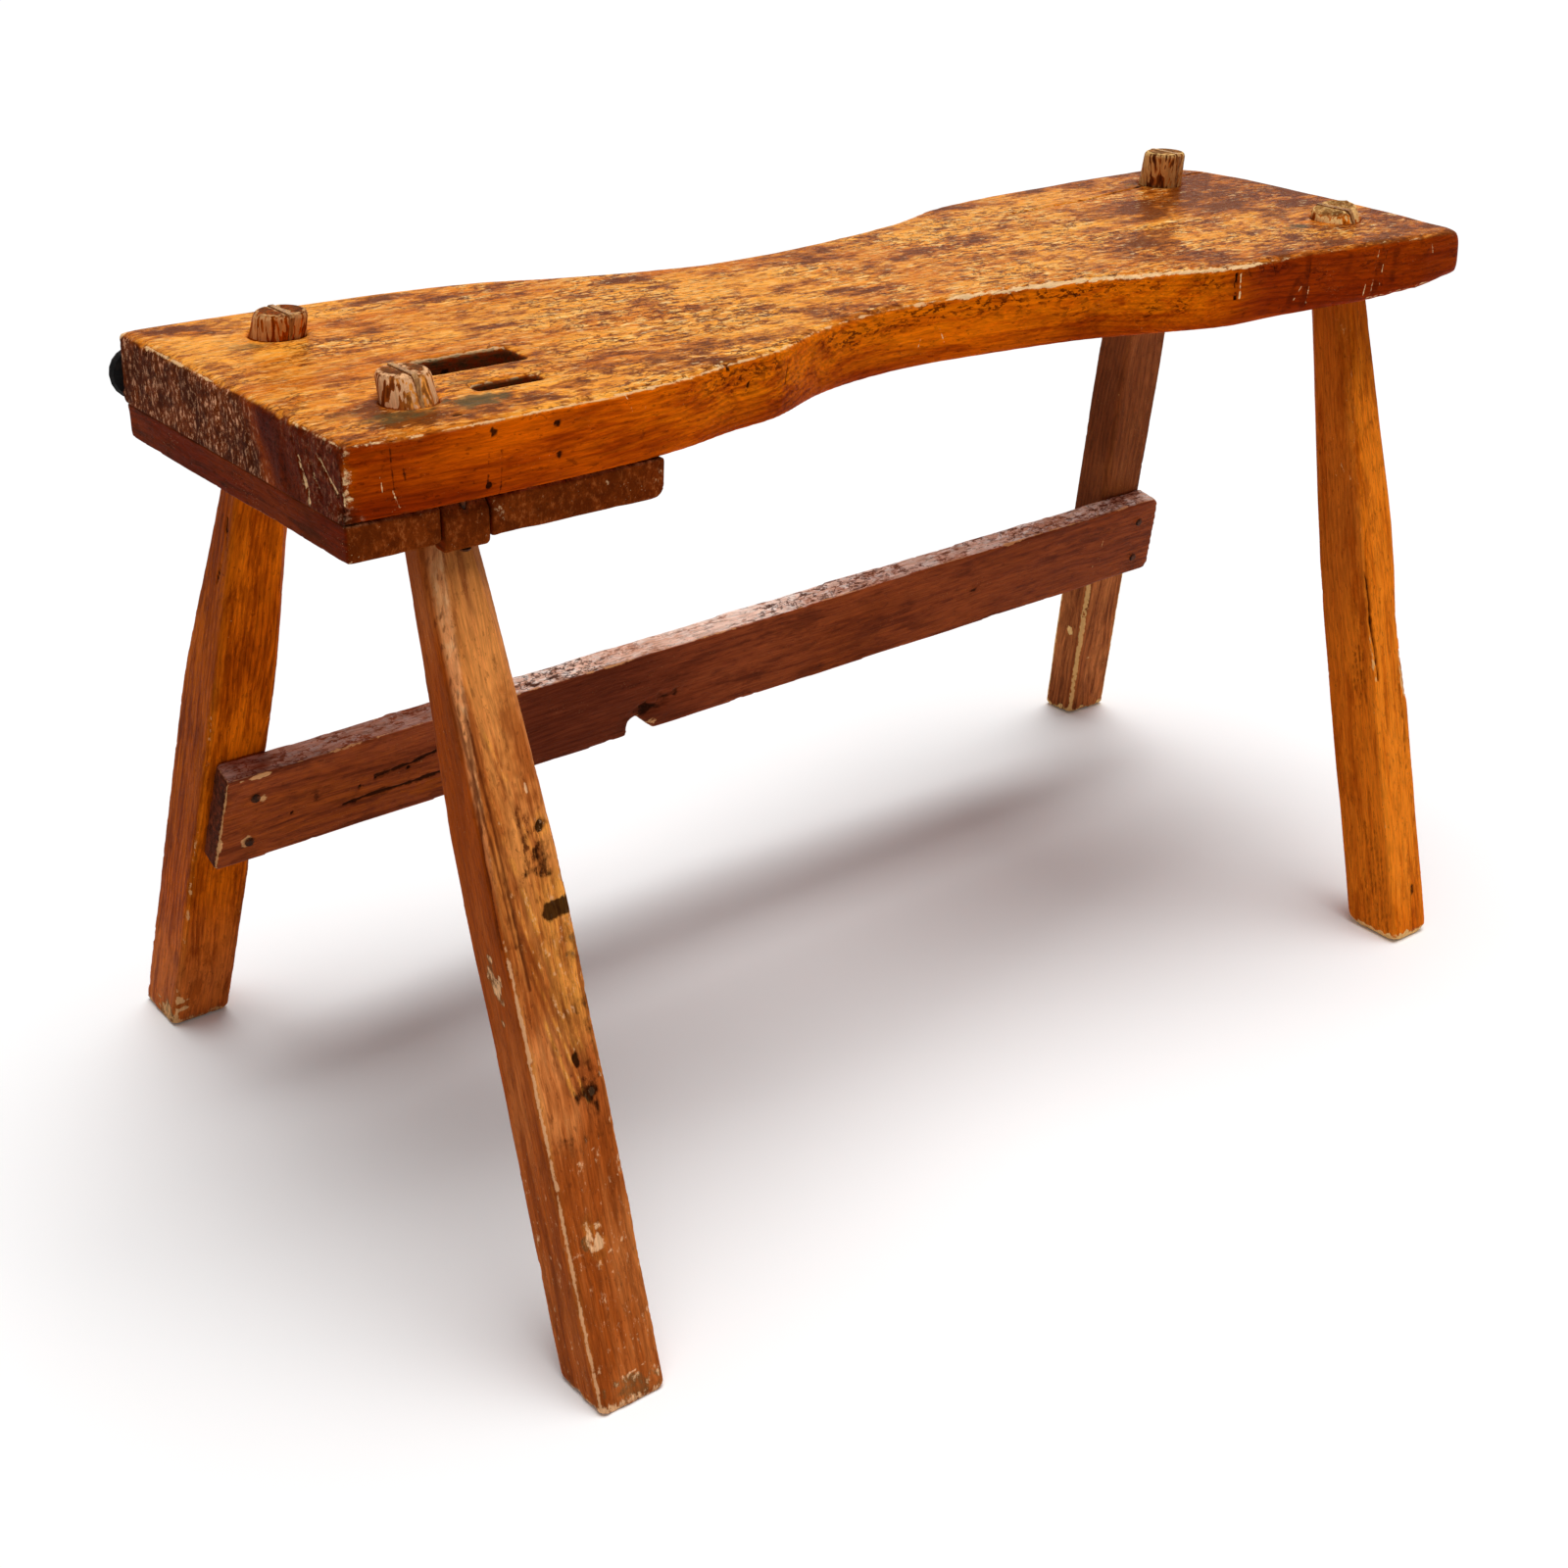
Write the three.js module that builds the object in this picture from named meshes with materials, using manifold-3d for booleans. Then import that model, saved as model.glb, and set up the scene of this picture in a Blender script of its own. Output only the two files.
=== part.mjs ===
// A cobblers bench: a waisted plank seat on four splayed legs whose round tenons
// pass through the seat and are wedged, a rail nailed across the two back legs,
// and three cleats nailed under the left end.
// Millimetres. X runs along the bench, Y from front to back, Z up from the floor.
import * as THREE from 'three';
import { mergeVertices } from 'three/addons/utils/BufferGeometryUtils.js';
import Module from 'manifold-3d';

const wasm = await Module();
wasm.setup();

// Seat plank
const seat_length = 1150;
const seat_width = 348;
const seat_thickness = 54;
const seat_height = 677;
const seat_arris = 5;
const seat_corner = 8;
const left_end_skew = 4;
const back_right_round = 46;
const front_waist_depth = 74;
const back_waist_depth = 67;
const right_end_bow = 24;
const end_thinning = 11;
const end_thinning_length = 125;

// The edges of the seat as pairs of shares: along the seat, and of the waist depth
const front_edge_shares = [
  [0.08, -0.06], [0.18, -0.03], [0.235, 0.06], [0.28, 0.24], [0.325, 0.37],
  [0.376, 0.74], [0.424, 0.93], [0.48, 1], [0.544, 0.92], [0.621, 0.76],
  [0.679, 0.5], [0.742, 0.21], [0.8, 0.19], [0.88, 0.1], [0.957, -0.04],
];
const back_edge_shares = [
  [0.05, -0.02], [0.13, 0.01], [0.2, 0.08], [0.255, 0.22], [0.307, 0.54],
  [0.335, 0.69], [0.394, 0.92], [0.435, 1], [0.506, 0.9], [0.572, 0.72],
  [0.639, 0.43], [0.69, 0.07], [0.75, -0.14], [0.85, -0.28], [0.95, -0.36],
];
// The bowed right end as pairs of shares: across the seat, and of its bow
const right_end_shares = [[0.08, 0.05], [0.2, 0.4], [0.4, 0.82], [0.6, 0.95], [0.8, 1]];

// Slots for tools, cut through the seat near its left end
const slot_length = 79;
const slot_width = 37;
const slot_from_end = 128;
const slot_from_front = 110;
const thin_slot_length = 53;
const thin_slot_width = 15;
const thin_slot_from_end = 135;
const thin_slot_from_front = 58;

// Legs: nearly square below, hewn to eight sides towards the round tenon
const leg_size = 54;
const leg_arris = 3;
const foot_wear = 4;
const tenon_diameter = 42;
const tenon_stand = 20;
const tenon_round = 2.5;
const tenon_base_share = 1.03;
const tenon_tip_share = 0.95;
const tenon_roundness_share = 0.96;
const scallop_depth = 7;
const scallop_low_share = 0.4;
const scallop_high_share = 0.61;
const sway_height_share = 0.4;
const leg_table_shares = {
  front_left: {
    along: 0.074, width: 1.07, depth: 1.04, tenon: 0.95, stand: 0.98,
    taper_from: 0.62, top_width: 0.8, top_depth: 0.8, top_cut: 0.58, top_drop: 0,
    scallop: 0, sway: 0.03, wear: 1,
  },
  back_left: {
    along: 0.078, width: 1.05, depth: 1.18, tenon: 1, stand: 0.95,
    taper_from: 0.62, top_width: 0.78, top_depth: 0.7, top_cut: 0.55, top_drop: 0,
    scallop: 0, sway: -0.02, wear: 1,
  },
  back_right: {
    along: 0.9335, width: 1.1, depth: 0.81, tenon: 1, stand: 1.68,
    taper_from: 0.76, top_width: 0.9, top_depth: 0.99, top_cut: 0.2, top_drop: 0,
    scallop: 0, sway: -0.035, wear: 1,
  },
  front_right: {
    along: 0.945, width: 0.95, depth: 1.12, tenon: 1.06, stand: 0.7,
    taper_from: 0.56, top_width: 0.9, top_depth: 0.77, top_cut: 0.55, top_drop: 0.55,
    scallop: 1, sway: -0.08, wear: 2,
  },
};
// How far each tenon's centre lies from the seat's nearer long edge
const front_left_leg_inset = 66.1;
const back_left_leg_inset = 76.6;
const back_right_leg_inset = 42.1;
const front_right_leg_inset = 94.3;
const tenon_places_across = {
  front_left: front_left_leg_inset,
  back_left: seat_width - back_left_leg_inset,
  back_right: seat_width - back_right_leg_inset,
  front_right: front_right_leg_inset,
};
// How far each leg leans: out from the bench, and along it towards the right
const leg_lean_degrees = {
  front_left: { out: 19.6, along: -1.1 },
  back_left: { out: 18, along: -4.5 },
  back_right: { out: 15, along: 10.9 },
  front_right: { out: 15.7, along: -1.3 },
};

// Wedges driven into the tenons
const wedge_top = 4;
const wedge_tip = 1;
const wedge_depth = 48;

// Rail nailed to the front faces of the back legs
const rail_height = 99;
const rail_thickness = 26;
const rail_centre_height = 255;
const rail_rise = 14;
const rail_left_inset = 7;
const rail_right_overhang = 4;
const rail_left_round = 2.5;
const rail_right_round = 10;
const rail_back_round = 9;
const rail_notch_from_end = 423;
const rail_notch_width = 31;
const rail_notch_depth = 24;
const rail_notch_peak_share = 0.22;
const rail_notch_side_share = 0.8;
const rail_stations_shares = [0.25, 0.5, 0.75];

// Cleats under the left end
const cleat_thickness = 26;
const cleat_arris = 2;
const cleat_round = 5;
const end_cleat_width = 70;
const split_strip_width = 37;
const split_strip_drop = 7.5;
const inner_cleat_width = 143;
const inner_cleat_thickness = 29;
const inner_cleat_round = 12;
const cleat_joint = 0.6;
const cleat_back_inset = 3;

// Nails
const nail_shank_diameter = 4.2;
const nail_head_diameter = 9;
const nail_head_height = 1.6;
const nail_length = 56;
const nail_point_share = 0.5;
const nail_taper_share = 0.8;
const nail_crown_share = 0.8;
const rail_nail_inset = 29;
const rail_nail_shares = [0.23, 0.73];
const cleat_nail_length = 58;
const cleat_nail_shares = {
  end_cleat: [[0.4, 0.04], [0.4, 0.5], [0.4, 0.96]],
  split_strip_front: [[0.5, 0.15]],
  split_strip_middle: [[0.5, 0.3], [0.5, 0.7]],
  split_strip_back: [[0.5, 0.82]],
  inner_cleat: [[0.2, 0.1], [0.85, 0.1], [0.2, 0.9], [0.85, 0.9]],
};

// Black iron knob on the seat's back edge
const knob_diameter = 41;
const knob_reach = 20;
const knob_neck_diameter = 18;
const knob_shank_diameter = 8;
const knob_shank_length = 36;
const knob_from_end = 12;
const knob_below_top = 37;
// The knob's head as pairs of shares: of its radius, and of its reach
const knob_head_shares = [[0.4, 0.25], [0.9, 0.42], [1, 0.6], [0.93, 0.82], [0.62, 0.96], [0, 1]];

// Fits and facets
const fit_gap = 0.3;
const overrun = 12;
const corner_steps = 4;
const rail_round_steps = 3;
const leg_body_steps = 14;
const round_steps = 20;
const nail_steps = 8;

const seat_underside = seat_height - seat_thickness;

const toRadians = (degrees) => (degrees * Math.PI) / 180;
const mix = THREE.MathUtils.lerp;

// Solids and meshes

function toSolid(geometry) {
  geometry.deleteAttribute('normal');
  geometry.deleteAttribute('uv');
  const merged = mergeVertices(geometry);
  return new wasm.Manifold(new wasm.Mesh({
    numProp: 3,
    vertProperties: new Float32Array(merged.attributes.position.array),
    triVerts: new Uint32Array(merged.index.array),
  }));
}

function toGeometry(solid) {
  const mesh = solid.getMesh();
  const geometry = new THREE.BufferGeometry();
  geometry.setAttribute('position', new THREE.BufferAttribute(new Float32Array(mesh.vertProperties), 3));
  geometry.setIndex(new THREE.BufferAttribute(new Uint32Array(mesh.triVerts), 1));
  return geometry;
}

// A closed body through rings of points, which run anticlockwise seen from the last ring's end
function loft(rings) {
  const count = rings[0].length;
  const positions = [];
  const index = [];
  rings.forEach((ring) => ring.forEach((point) => positions.push(point.x, point.y, point.z)));
  for (let r = 0; r < rings.length - 1; r += 1) {
    for (let i = 0; i < count; i += 1) {
      const a = r * count + i;
      const b = r * count + ((i + 1) % count);
      index.push(a, b, b + count, a, b + count, a + count);
    }
  }
  const addCap = (ring, start, turned) => {
    const centre = ring.reduce((sum, point) => sum.add(point), new THREE.Vector3()).divideScalar(count);
    const hub = positions.length / 3;
    positions.push(centre.x, centre.y, centre.z);
    for (let i = 0; i < count; i += 1) {
      const a = start + i;
      const b = start + ((i + 1) % count);
      index.push(...(turned ? [hub, b, a] : [hub, a, b]));
    }
  };
  addCap(rings[0], 0, true);
  addCap(rings[rings.length - 1], (rings.length - 1) * count, false);
  const geometry = new THREE.BufferGeometry();
  geometry.setAttribute('position', new THREE.BufferAttribute(new Float32Array(positions), 3));
  geometry.setIndex(index);
  return geometry;
}

// A level ring: a rectangle of the given size, its corners rounded or, flattened, cut straight
function makeRing(centre, width, depth, radius, flatten, height = () => centre.z) {
  const ring = [];
  const origin = new THREE.Vector2();
  const reach_x = width / 2 - radius;
  const reach_y = depth / 2 - radius;
  [[1, 1, 0], [-1, 1, 90], [-1, -1, 180], [1, -1, 270]].forEach(([side_x, side_y, from_degrees]) => {
    for (let i = 0; i <= corner_steps; i += 1) {
      const turn = i / corner_steps;
      const arc = new THREE.Vector2(1, 0).rotateAround(origin, toRadians(90 * turn));
      const offset = arc.lerp(new THREE.Vector2(1 - turn, turn), flatten).multiplyScalar(radius);
      offset.rotateAround(origin, toRadians(from_degrees));
      const x = side_x * reach_x + offset.x;
      const y = side_y * reach_y + offset.y;
      ring.push(new THREE.Vector3(centre.x + x, centre.y + y, height(x / width)));
    }
  });
  return ring;
}

function block(low, high) {
  const size = high.clone().sub(low);
  const geometry = new THREE.BoxGeometry(size.x, size.y, size.z);
  return geometry.translate((low.x + high.x) / 2, (low.y + high.y) / 2, (low.z + high.z) / 2);
}

function makeMesh(name, solid, anchor, finish) {
  const geometry = toGeometry(solid).translate(-anchor.x, -anchor.y, -anchor.z);
  geometry.computeVertexNormals();
  const mesh = new THREE.Mesh(geometry, new THREE.MeshStandardMaterial(finish));
  mesh.name = name;
  mesh.position.copy(anchor);
  return mesh;
}

// Legs

function describeLeg(name) {
  const shares = leg_table_shares[name];
  const lean = leg_lean_degrees[name];
  const outward = name.startsWith('front') ? -1 : 1;
  const tenon = new THREE.Vector3(shares.along * seat_length, tenon_places_across[name], seat_height);
  const slope = new THREE.Vector3(
    -Math.tan(toRadians(lean.along)),
    -outward * Math.tan(toRadians(lean.out)),
    1,
  );
  const cleated = name.endsWith('left');
  return {
    name,
    shares,
    tenon,
    slope,
    width: leg_size * shares.width,
    depth: leg_size * shares.depth,
    wear: foot_wear * shares.wear,
    tenon_diameter: tenon_diameter * shares.tenon,
    shoulder: seat_underside - (cleated ? cleat_thickness + fit_gap : 0),
    top: seat_height + tenon_stand * shares.stand,
  };
}

function axisAt(leg, z) {
  return leg.tenon.clone().addScaledVector(leg.slope, z - seat_height);
}

// The middle of a leg's hewn body, which sways off the straight line between foot and tenon
function bodyAt(leg, z) {
  const middle = axisAt(leg, z);
  const rise = z / leg.shoulder;
  middle.x += leg_size * leg.shares.sway * THREE.MathUtils.smoothstep(rise, 0, sway_height_share);
  return middle;
}

function makeBodyRing(leg, z, grow) {
  const { shares } = leg;
  const rise = z / leg.shoulder;
  const taper = THREE.MathUtils.clamp((rise - shares.taper_from) / (1 - shares.taper_from), 0, 1);
  const span = (rise - scallop_low_share) / (scallop_high_share - scallop_low_share);
  const hollow = scallop_depth * shares.scallop * Math.sin(Math.PI * THREE.MathUtils.clamp(span, 0, 1));
  const width = leg.width * mix(1, shares.top_width, taper) - hollow;
  const depth = leg.depth * mix(1, shares.top_depth, taper);
  const narrow = Math.min(leg.width * shares.top_width, leg.depth * shares.top_depth);
  const top_cut = (narrow / 2) * shares.top_cut;
  const centre = bodyAt(leg, z);
  centre.x -= hollow / 2;
  return makeRing(centre, width + 2 * grow, depth + 2 * grow, mix(leg_arris, top_cut, taper) + grow, 1);
}

function makeTenonRing(centre, diameter, grow, height) {
  const size = diameter + 2 * grow;
  return makeRing(centre, size, size, (size / 2) * tenon_roundness_share, 0, height);
}

function makeLegSolid(leg, grow) {
  const body_top = leg.shoulder - fit_gap + grow;
  const sole_width = leg.width - leg.wear + 2 * grow;
  const sole_depth = leg.depth - leg.wear + 2 * grow;
  const rings = [makeRing(bodyAt(leg, 0), sole_width, sole_depth, leg_arris + leg.wear / 2, 1)];
  for (let i = 0; i <= leg_body_steps; i += 1) {
    rings.push(makeBodyRing(leg, mix(leg.wear, body_top, i / leg_body_steps), grow));
  }
  const tenon_bottom = bodyAt(leg, body_top - 2 * grow - fit_gap);
  const round_start = leg.top - tenon_round;
  const tip = leg.tenon_diameter * tenon_tip_share;
  const wornTo = (z) => (share) => z - leg.shares.top_drop * (leg.top - seat_height) * (0.5 - share);
  const tenon_rings = [
    makeTenonRing(tenon_bottom, leg.tenon_diameter * tenon_base_share, grow),
    makeTenonRing(leg.tenon, leg.tenon_diameter, grow),
    makeTenonRing(axisAt(leg, round_start), tip, grow, wornTo(round_start)),
    makeTenonRing(axisAt(leg, leg.top), tip - 2 * tenon_round, grow, wornTo(leg.top)),
  ];
  return toSolid(loft(rings)).add(toSolid(loft(tenon_rings)));
}

function makeWedgeRings(leg, grow) {
  const across = leg.tenon_diameter + 2 * overrun;
  const bottom = leg.top - wedge_depth - grow;
  return [bottom, leg.top + overrun].map((z) => {
    const rise = (z - leg.top + wedge_depth) / wedge_depth;
    const thickness = mix(wedge_tip, wedge_top, rise) + 2 * grow;
    const centre = axisAt(leg, z);
    return [[1, -1], [1, 1], [-1, 1], [-1, -1]].map(([x, y]) => new THREE.Vector3(
      centre.x + (x * thickness) / 2,
      centre.y + (y * across) / 2,
      z,
    ));
  });
}

// Seat

function makeSeatOutline() {
  const front = (share) => front_waist_depth * share;
  const back = (share) => seat_width - back_waist_depth * share;
  const right_end = (share) => seat_length + right_end_bow * share;
  const outline = new THREE.Shape();
  outline.moveTo(0, 0);
  outline.splineThru(front_edge_shares.map(([x, y]) => new THREE.Vector2(x * seat_length, front(y))));
  const last_front = front_edge_shares[front_edge_shares.length - 1];
  const front_corner = front(last_front[1]);
  outline.lineTo(seat_length - seat_corner, front_corner);
  outline.quadraticCurveTo(seat_length, front_corner, seat_length, front_corner + seat_corner);
  outline.splineThru(right_end_shares.map(([y, x]) => new THREE.Vector2(right_end(x), y * seat_width)));
  const last_back = back_edge_shares[back_edge_shares.length - 1];
  const back_corner = back(last_back[1]);
  outline.quadraticCurveTo(right_end(1), back_corner, right_end(1) - back_right_round, back_corner);
  const back_points = [...back_edge_shares].reverse();
  outline.splineThru(back_points.map(([x, y]) => new THREE.Vector2(x * seat_length, back(y))));
  outline.lineTo(-left_end_skew, seat_width);
  outline.closePath();
  return outline;
}

function makeSeatBlank() {
  const plank = new THREE.ExtrudeGeometry(makeSeatOutline(), {
    depth: seat_thickness - 2 * seat_arris,
    curveSegments: 3,
    bevelThickness: seat_arris,
    bevelSize: seat_arris,
    bevelOffset: -seat_arris,
    bevelSegments: 2,
  });
  plank.translate(0, 0, seat_underside + seat_arris);
  return toSolid(plank).subtract(makeEndThinning());
}

// The underside rises towards the right end
function makeEndThinning() {
  const start = seat_length - end_thinning_length;
  const finish = seat_length + right_end_bow + overrun;
  const rise = end_thinning * ((finish - start) / end_thinning_length);
  const rings = [seat_width + back_waist_depth, -front_waist_depth].map((y) => [
    new THREE.Vector3(start, y, seat_underside),
    new THREE.Vector3(start, y, seat_underside - overrun),
    new THREE.Vector3(finish, y, seat_underside - overrun),
    new THREE.Vector3(finish, y, seat_underside + rise),
  ]);
  return toSolid(loft(rings));
}

function makeSlots() {
  const cutSlot = (from_end, from_front, length, width) => toSolid(block(
    new THREE.Vector3(from_end, from_front, seat_underside - 2 * cleat_thickness),
    new THREE.Vector3(from_end + length, from_front + width, seat_height + overrun),
  ));
  return cutSlot(slot_from_end, slot_from_front, slot_length, slot_width).add(
    cutSlot(thin_slot_from_end, thin_slot_from_front, thin_slot_length, thin_slot_width),
  );
}

// Rail

function faceOf(leg, z) {
  return axisAt(leg, z).y - leg.depth / 2;
}

// Where the rail's back face lies: s is 0 at the left leg's axis and 1 at the right one's
function describeRail(left, right) {
  const left_x = bodyAt(left, rail_centre_height).x;
  const right_x = bodyAt(right, rail_centre_height + rail_rise).x;
  const face_shift = faceOf(right, rail_centre_height) - faceOf(left, rail_centre_height);
  const skew = Math.abs(face_shift) / (right_x - left_x);
  const clearance = fit_gap + (skew * Math.max(left.width, right.width)) / 2;
  const centreAt = (s) => rail_centre_height + rail_rise * s;
  const upAt = (s) => new THREE.Vector3(0, mix(left.slope.y, right.slope.y, s), 1).normalize();
  const outAt = (s) => new THREE.Vector3(1, 0, 0).cross(upAt(s)).normalize();
  const pointAt = (s, rise, out) => {
    const z = centreAt(s);
    const point = new THREE.Vector3(mix(left_x, right_x, s), mix(faceOf(left, z), faceOf(right, z), s), z);
    point.addScaledVector(upAt(s), rise);
    point.addScaledVector(outAt(s), out + clearance);
    point.x += mix(left.slope.x, right.slope.x, s) * (point.z - z);
    return point;
  };
  return {
    pointAt,
    outAt,
    span: right_x - left_x,
    start: -(left.width / 2 - rail_left_inset) / (right_x - left_x),
    finish: 1 + (right.width / 2 + rail_right_overhang) / (right_x - left_x),
  };
}

function makeRailBlank(rail) {
  const half = rail_height / 2;
  const ringAt = (s, trim, back_trim) => [
    rail.pointAt(s, half - trim, back_trim),
    rail.pointAt(s, half - trim, rail_thickness),
    rail.pointAt(s, -half + trim, rail_thickness),
    rail.pointAt(s, -half + trim, back_trim),
  ];
  const rings = [];
  for (let i = 0; i <= rail_round_steps; i += 1) {
    const angle = (Math.PI / 2) * (i / rail_round_steps);
    const advance = rail_left_round * (1 - Math.cos(angle));
    rings.push(ringAt(rail.start + advance / rail.span, rail_left_round * (1 - Math.sin(angle)), 0));
  }
  rail_stations_shares.forEach((s) => rings.push(ringAt(s, 0, 0)));
  for (let i = rail_round_steps; i >= 0; i -= 1) {
    const angle = (Math.PI / 2) * (i / rail_round_steps);
    const advance = rail_right_round * (1 - Math.cos(angle));
    const trim_share = 1 - Math.sin(angle);
    const s = rail.finish - advance / rail.span;
    rings.push(ringAt(s, rail_right_round * trim_share, rail_back_round * trim_share));
  }
  return toSolid(loft(rings));
}

function makeRailNotch(rail) {
  const left = rail.start + rail_notch_from_end / rail.span;
  const width = rail_notch_width / rail.span;
  const bottom = -rail_height / 2;
  const outline = [
    [0, -overrun], [1, -overrun], [1, 0],
    [rail_notch_peak_share, rail_notch_depth], [0, rail_notch_depth * rail_notch_side_share],
  ];
  const rings = [-overrun, rail_thickness + overrun].map((out) => outline.map(
    ([share, rise]) => rail.pointAt(left + share * width, bottom + rise, out),
  ));
  return toSolid(loft(rings));
}

// Nails and knob

function makeNailGeometry(length, grow) {
  const shank = nail_shank_diameter / 2 + grow;
  const head = nail_head_diameter / 2;
  const profile = [
    [0, -length - grow], [shank * nail_point_share, -length - grow], [shank, -length * nail_taper_share],
    [shank, 0], [head, 0], [head * nail_crown_share, nail_head_height], [0, nail_head_height],
  ];
  const points = profile.map(([x, y]) => new THREE.Vector2(x, y));
  return new THREE.LatheGeometry(points, nail_steps);
}

function placeNail({ place, outward, length }, grow) {
  const turn = new THREE.Quaternion().setFromUnitVectors(new THREE.Vector3(0, 1, 0), outward);
  const lifted = place.clone().addScaledVector(outward, fit_gap);
  const geometry = makeNailGeometry(length, grow).applyQuaternion(turn);
  return toSolid(geometry.translate(lifted.x, lifted.y, lifted.z));
}

function findRailNails(rail) {
  const inset = rail_nail_inset / rail.span;
  return [rail.start + inset, rail.finish - inset].flatMap((s) => rail_nail_shares.map((share) => ({
    place: rail.pointAt(s, rail_height * (share - 0.5), rail_thickness),
    outward: rail.outAt(s),
    length: nail_length,
  })));
}

function findCleatNails(cleats) {
  const down = new THREE.Vector3(0, 0, -1);
  return cleats.flatMap(({ name, low, high }) => cleat_nail_shares[name].map(([along, across]) => ({
    place: new THREE.Vector3(mix(low.x, high.x, along), mix(low.y, high.y, across), low.z),
    outward: down,
    length: cleat_nail_length,
  })));
}

const joinSolids = (solids) => solids.reduce((whole, solid) => whole.add(solid));
const makeNailHoles = (nails) => joinSolids(nails.map((nail) => placeNail(nail, fit_gap)));

function makeNailMeshes(name, nails) {
  return nails.map((nail, i) => makeMesh(`${name}_${i + 1}`, placeNail(nail, 0), nail.place, iron));
}

function makeKnob(grow) {
  const head = knob_diameter / 2;
  const neck = knob_neck_diameter / 2;
  const shank = knob_shank_diameter / 2 + grow;
  const profile = [
    [0, -knob_shank_length - grow], [shank, -knob_shank_length - grow], [shank, fit_gap], [neck, fit_gap],
    ...knob_head_shares.map(([across, out]) => [head * across, knob_reach * out]),
  ];
  const points = profile.map(([x, y]) => new THREE.Vector2(x, y));
  const geometry = new THREE.LatheGeometry(points, round_steps);
  return toSolid(geometry.translate(knob_from_end, seat_width, seat_height - knob_below_top));
}

// Cleats

// The middle strip is split off the end cleat, and the two left legs part it into three
function describeCleats(front_left, back_left) {
  const back = seat_width - cleat_back_inset;
  const strip_height = seat_underside - split_strip_drop - cleat_thickness / 2;
  const front_leg = axisAt(front_left, strip_height).y;
  const back_leg = axisAt(back_left, strip_height).y;
  const strip_from = end_cleat_width;
  const inner_from = end_cleat_width + split_strip_width;
  const describe = (name, from, width, [from_front, to_back], drop, thickness, end_round) => {
    const top = seat_underside - fit_gap - drop;
    return {
      name,
      low: new THREE.Vector3(from, from_front, top - thickness),
      high: new THREE.Vector3(from + width - cleat_joint, to_back, top),
      end_round,
    };
  };
  const strip = (name, reach) => describe(
    `split_strip_${name}`, strip_from, split_strip_width, reach, split_strip_drop, cleat_thickness, cleat_round,
  );
  const inner = describe(
    'inner_cleat', inner_from, inner_cleat_width, [0, back], 0, inner_cleat_thickness, inner_cleat_round,
  );
  return [
    describe('end_cleat', 0, end_cleat_width, [0, back], 0, cleat_thickness, cleat_round),
    strip('front', [0, front_leg - cleat_joint]),
    strip('middle', [front_leg, back_leg - cleat_joint]),
    strip('back', [back_leg, back]),
    inner,
  ];
}

// A cleat's cross-section, run from front to back; its lower right corner takes the end round
function makeCleatBlank({ low, high, end_round }) {
  const outline = new THREE.Shape();
  outline.moveTo(low.x, low.z);
  outline.lineTo(high.x - end_round, low.z);
  outline.quadraticCurveTo(high.x, low.z, high.x, low.z + end_round);
  outline.lineTo(high.x, high.z);
  outline.lineTo(low.x, high.z);
  outline.closePath();
  const geometry = new THREE.ExtrudeGeometry(outline, {
    depth: high.y - low.y - 2 * cleat_arris,
    curveSegments: corner_steps,
    bevelThickness: cleat_arris,
    bevelSize: cleat_arris,
    bevelOffset: -cleat_arris,
    bevelSegments: 1,
  });
  geometry.rotateX(Math.PI / 2);
  return toSolid(geometry.translate(0, high.y - cleat_arris, 0));
}

// Finishes

const seat_wood = { color: 0xa9652c, roughness: 0.42, metalness: 0 };
const leg_wood = { color: 0x9a5722, roughness: 0.5, metalness: 0 };
const rail_wood = { color: 0x5f2a18, roughness: 0.45, metalness: 0 };
const cleat_wood = { color: 0x55301a, roughness: 0.6, metalness: 0 };
const wedge_wood = { color: 0xd9a56c, roughness: 0.6, metalness: 0 };
const iron = { color: 0x2b2522, roughness: 0.55, metalness: 0.8 };
const black_iron = { color: 0x0d0c0c, roughness: 0.5, metalness: 0.6 };

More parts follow.
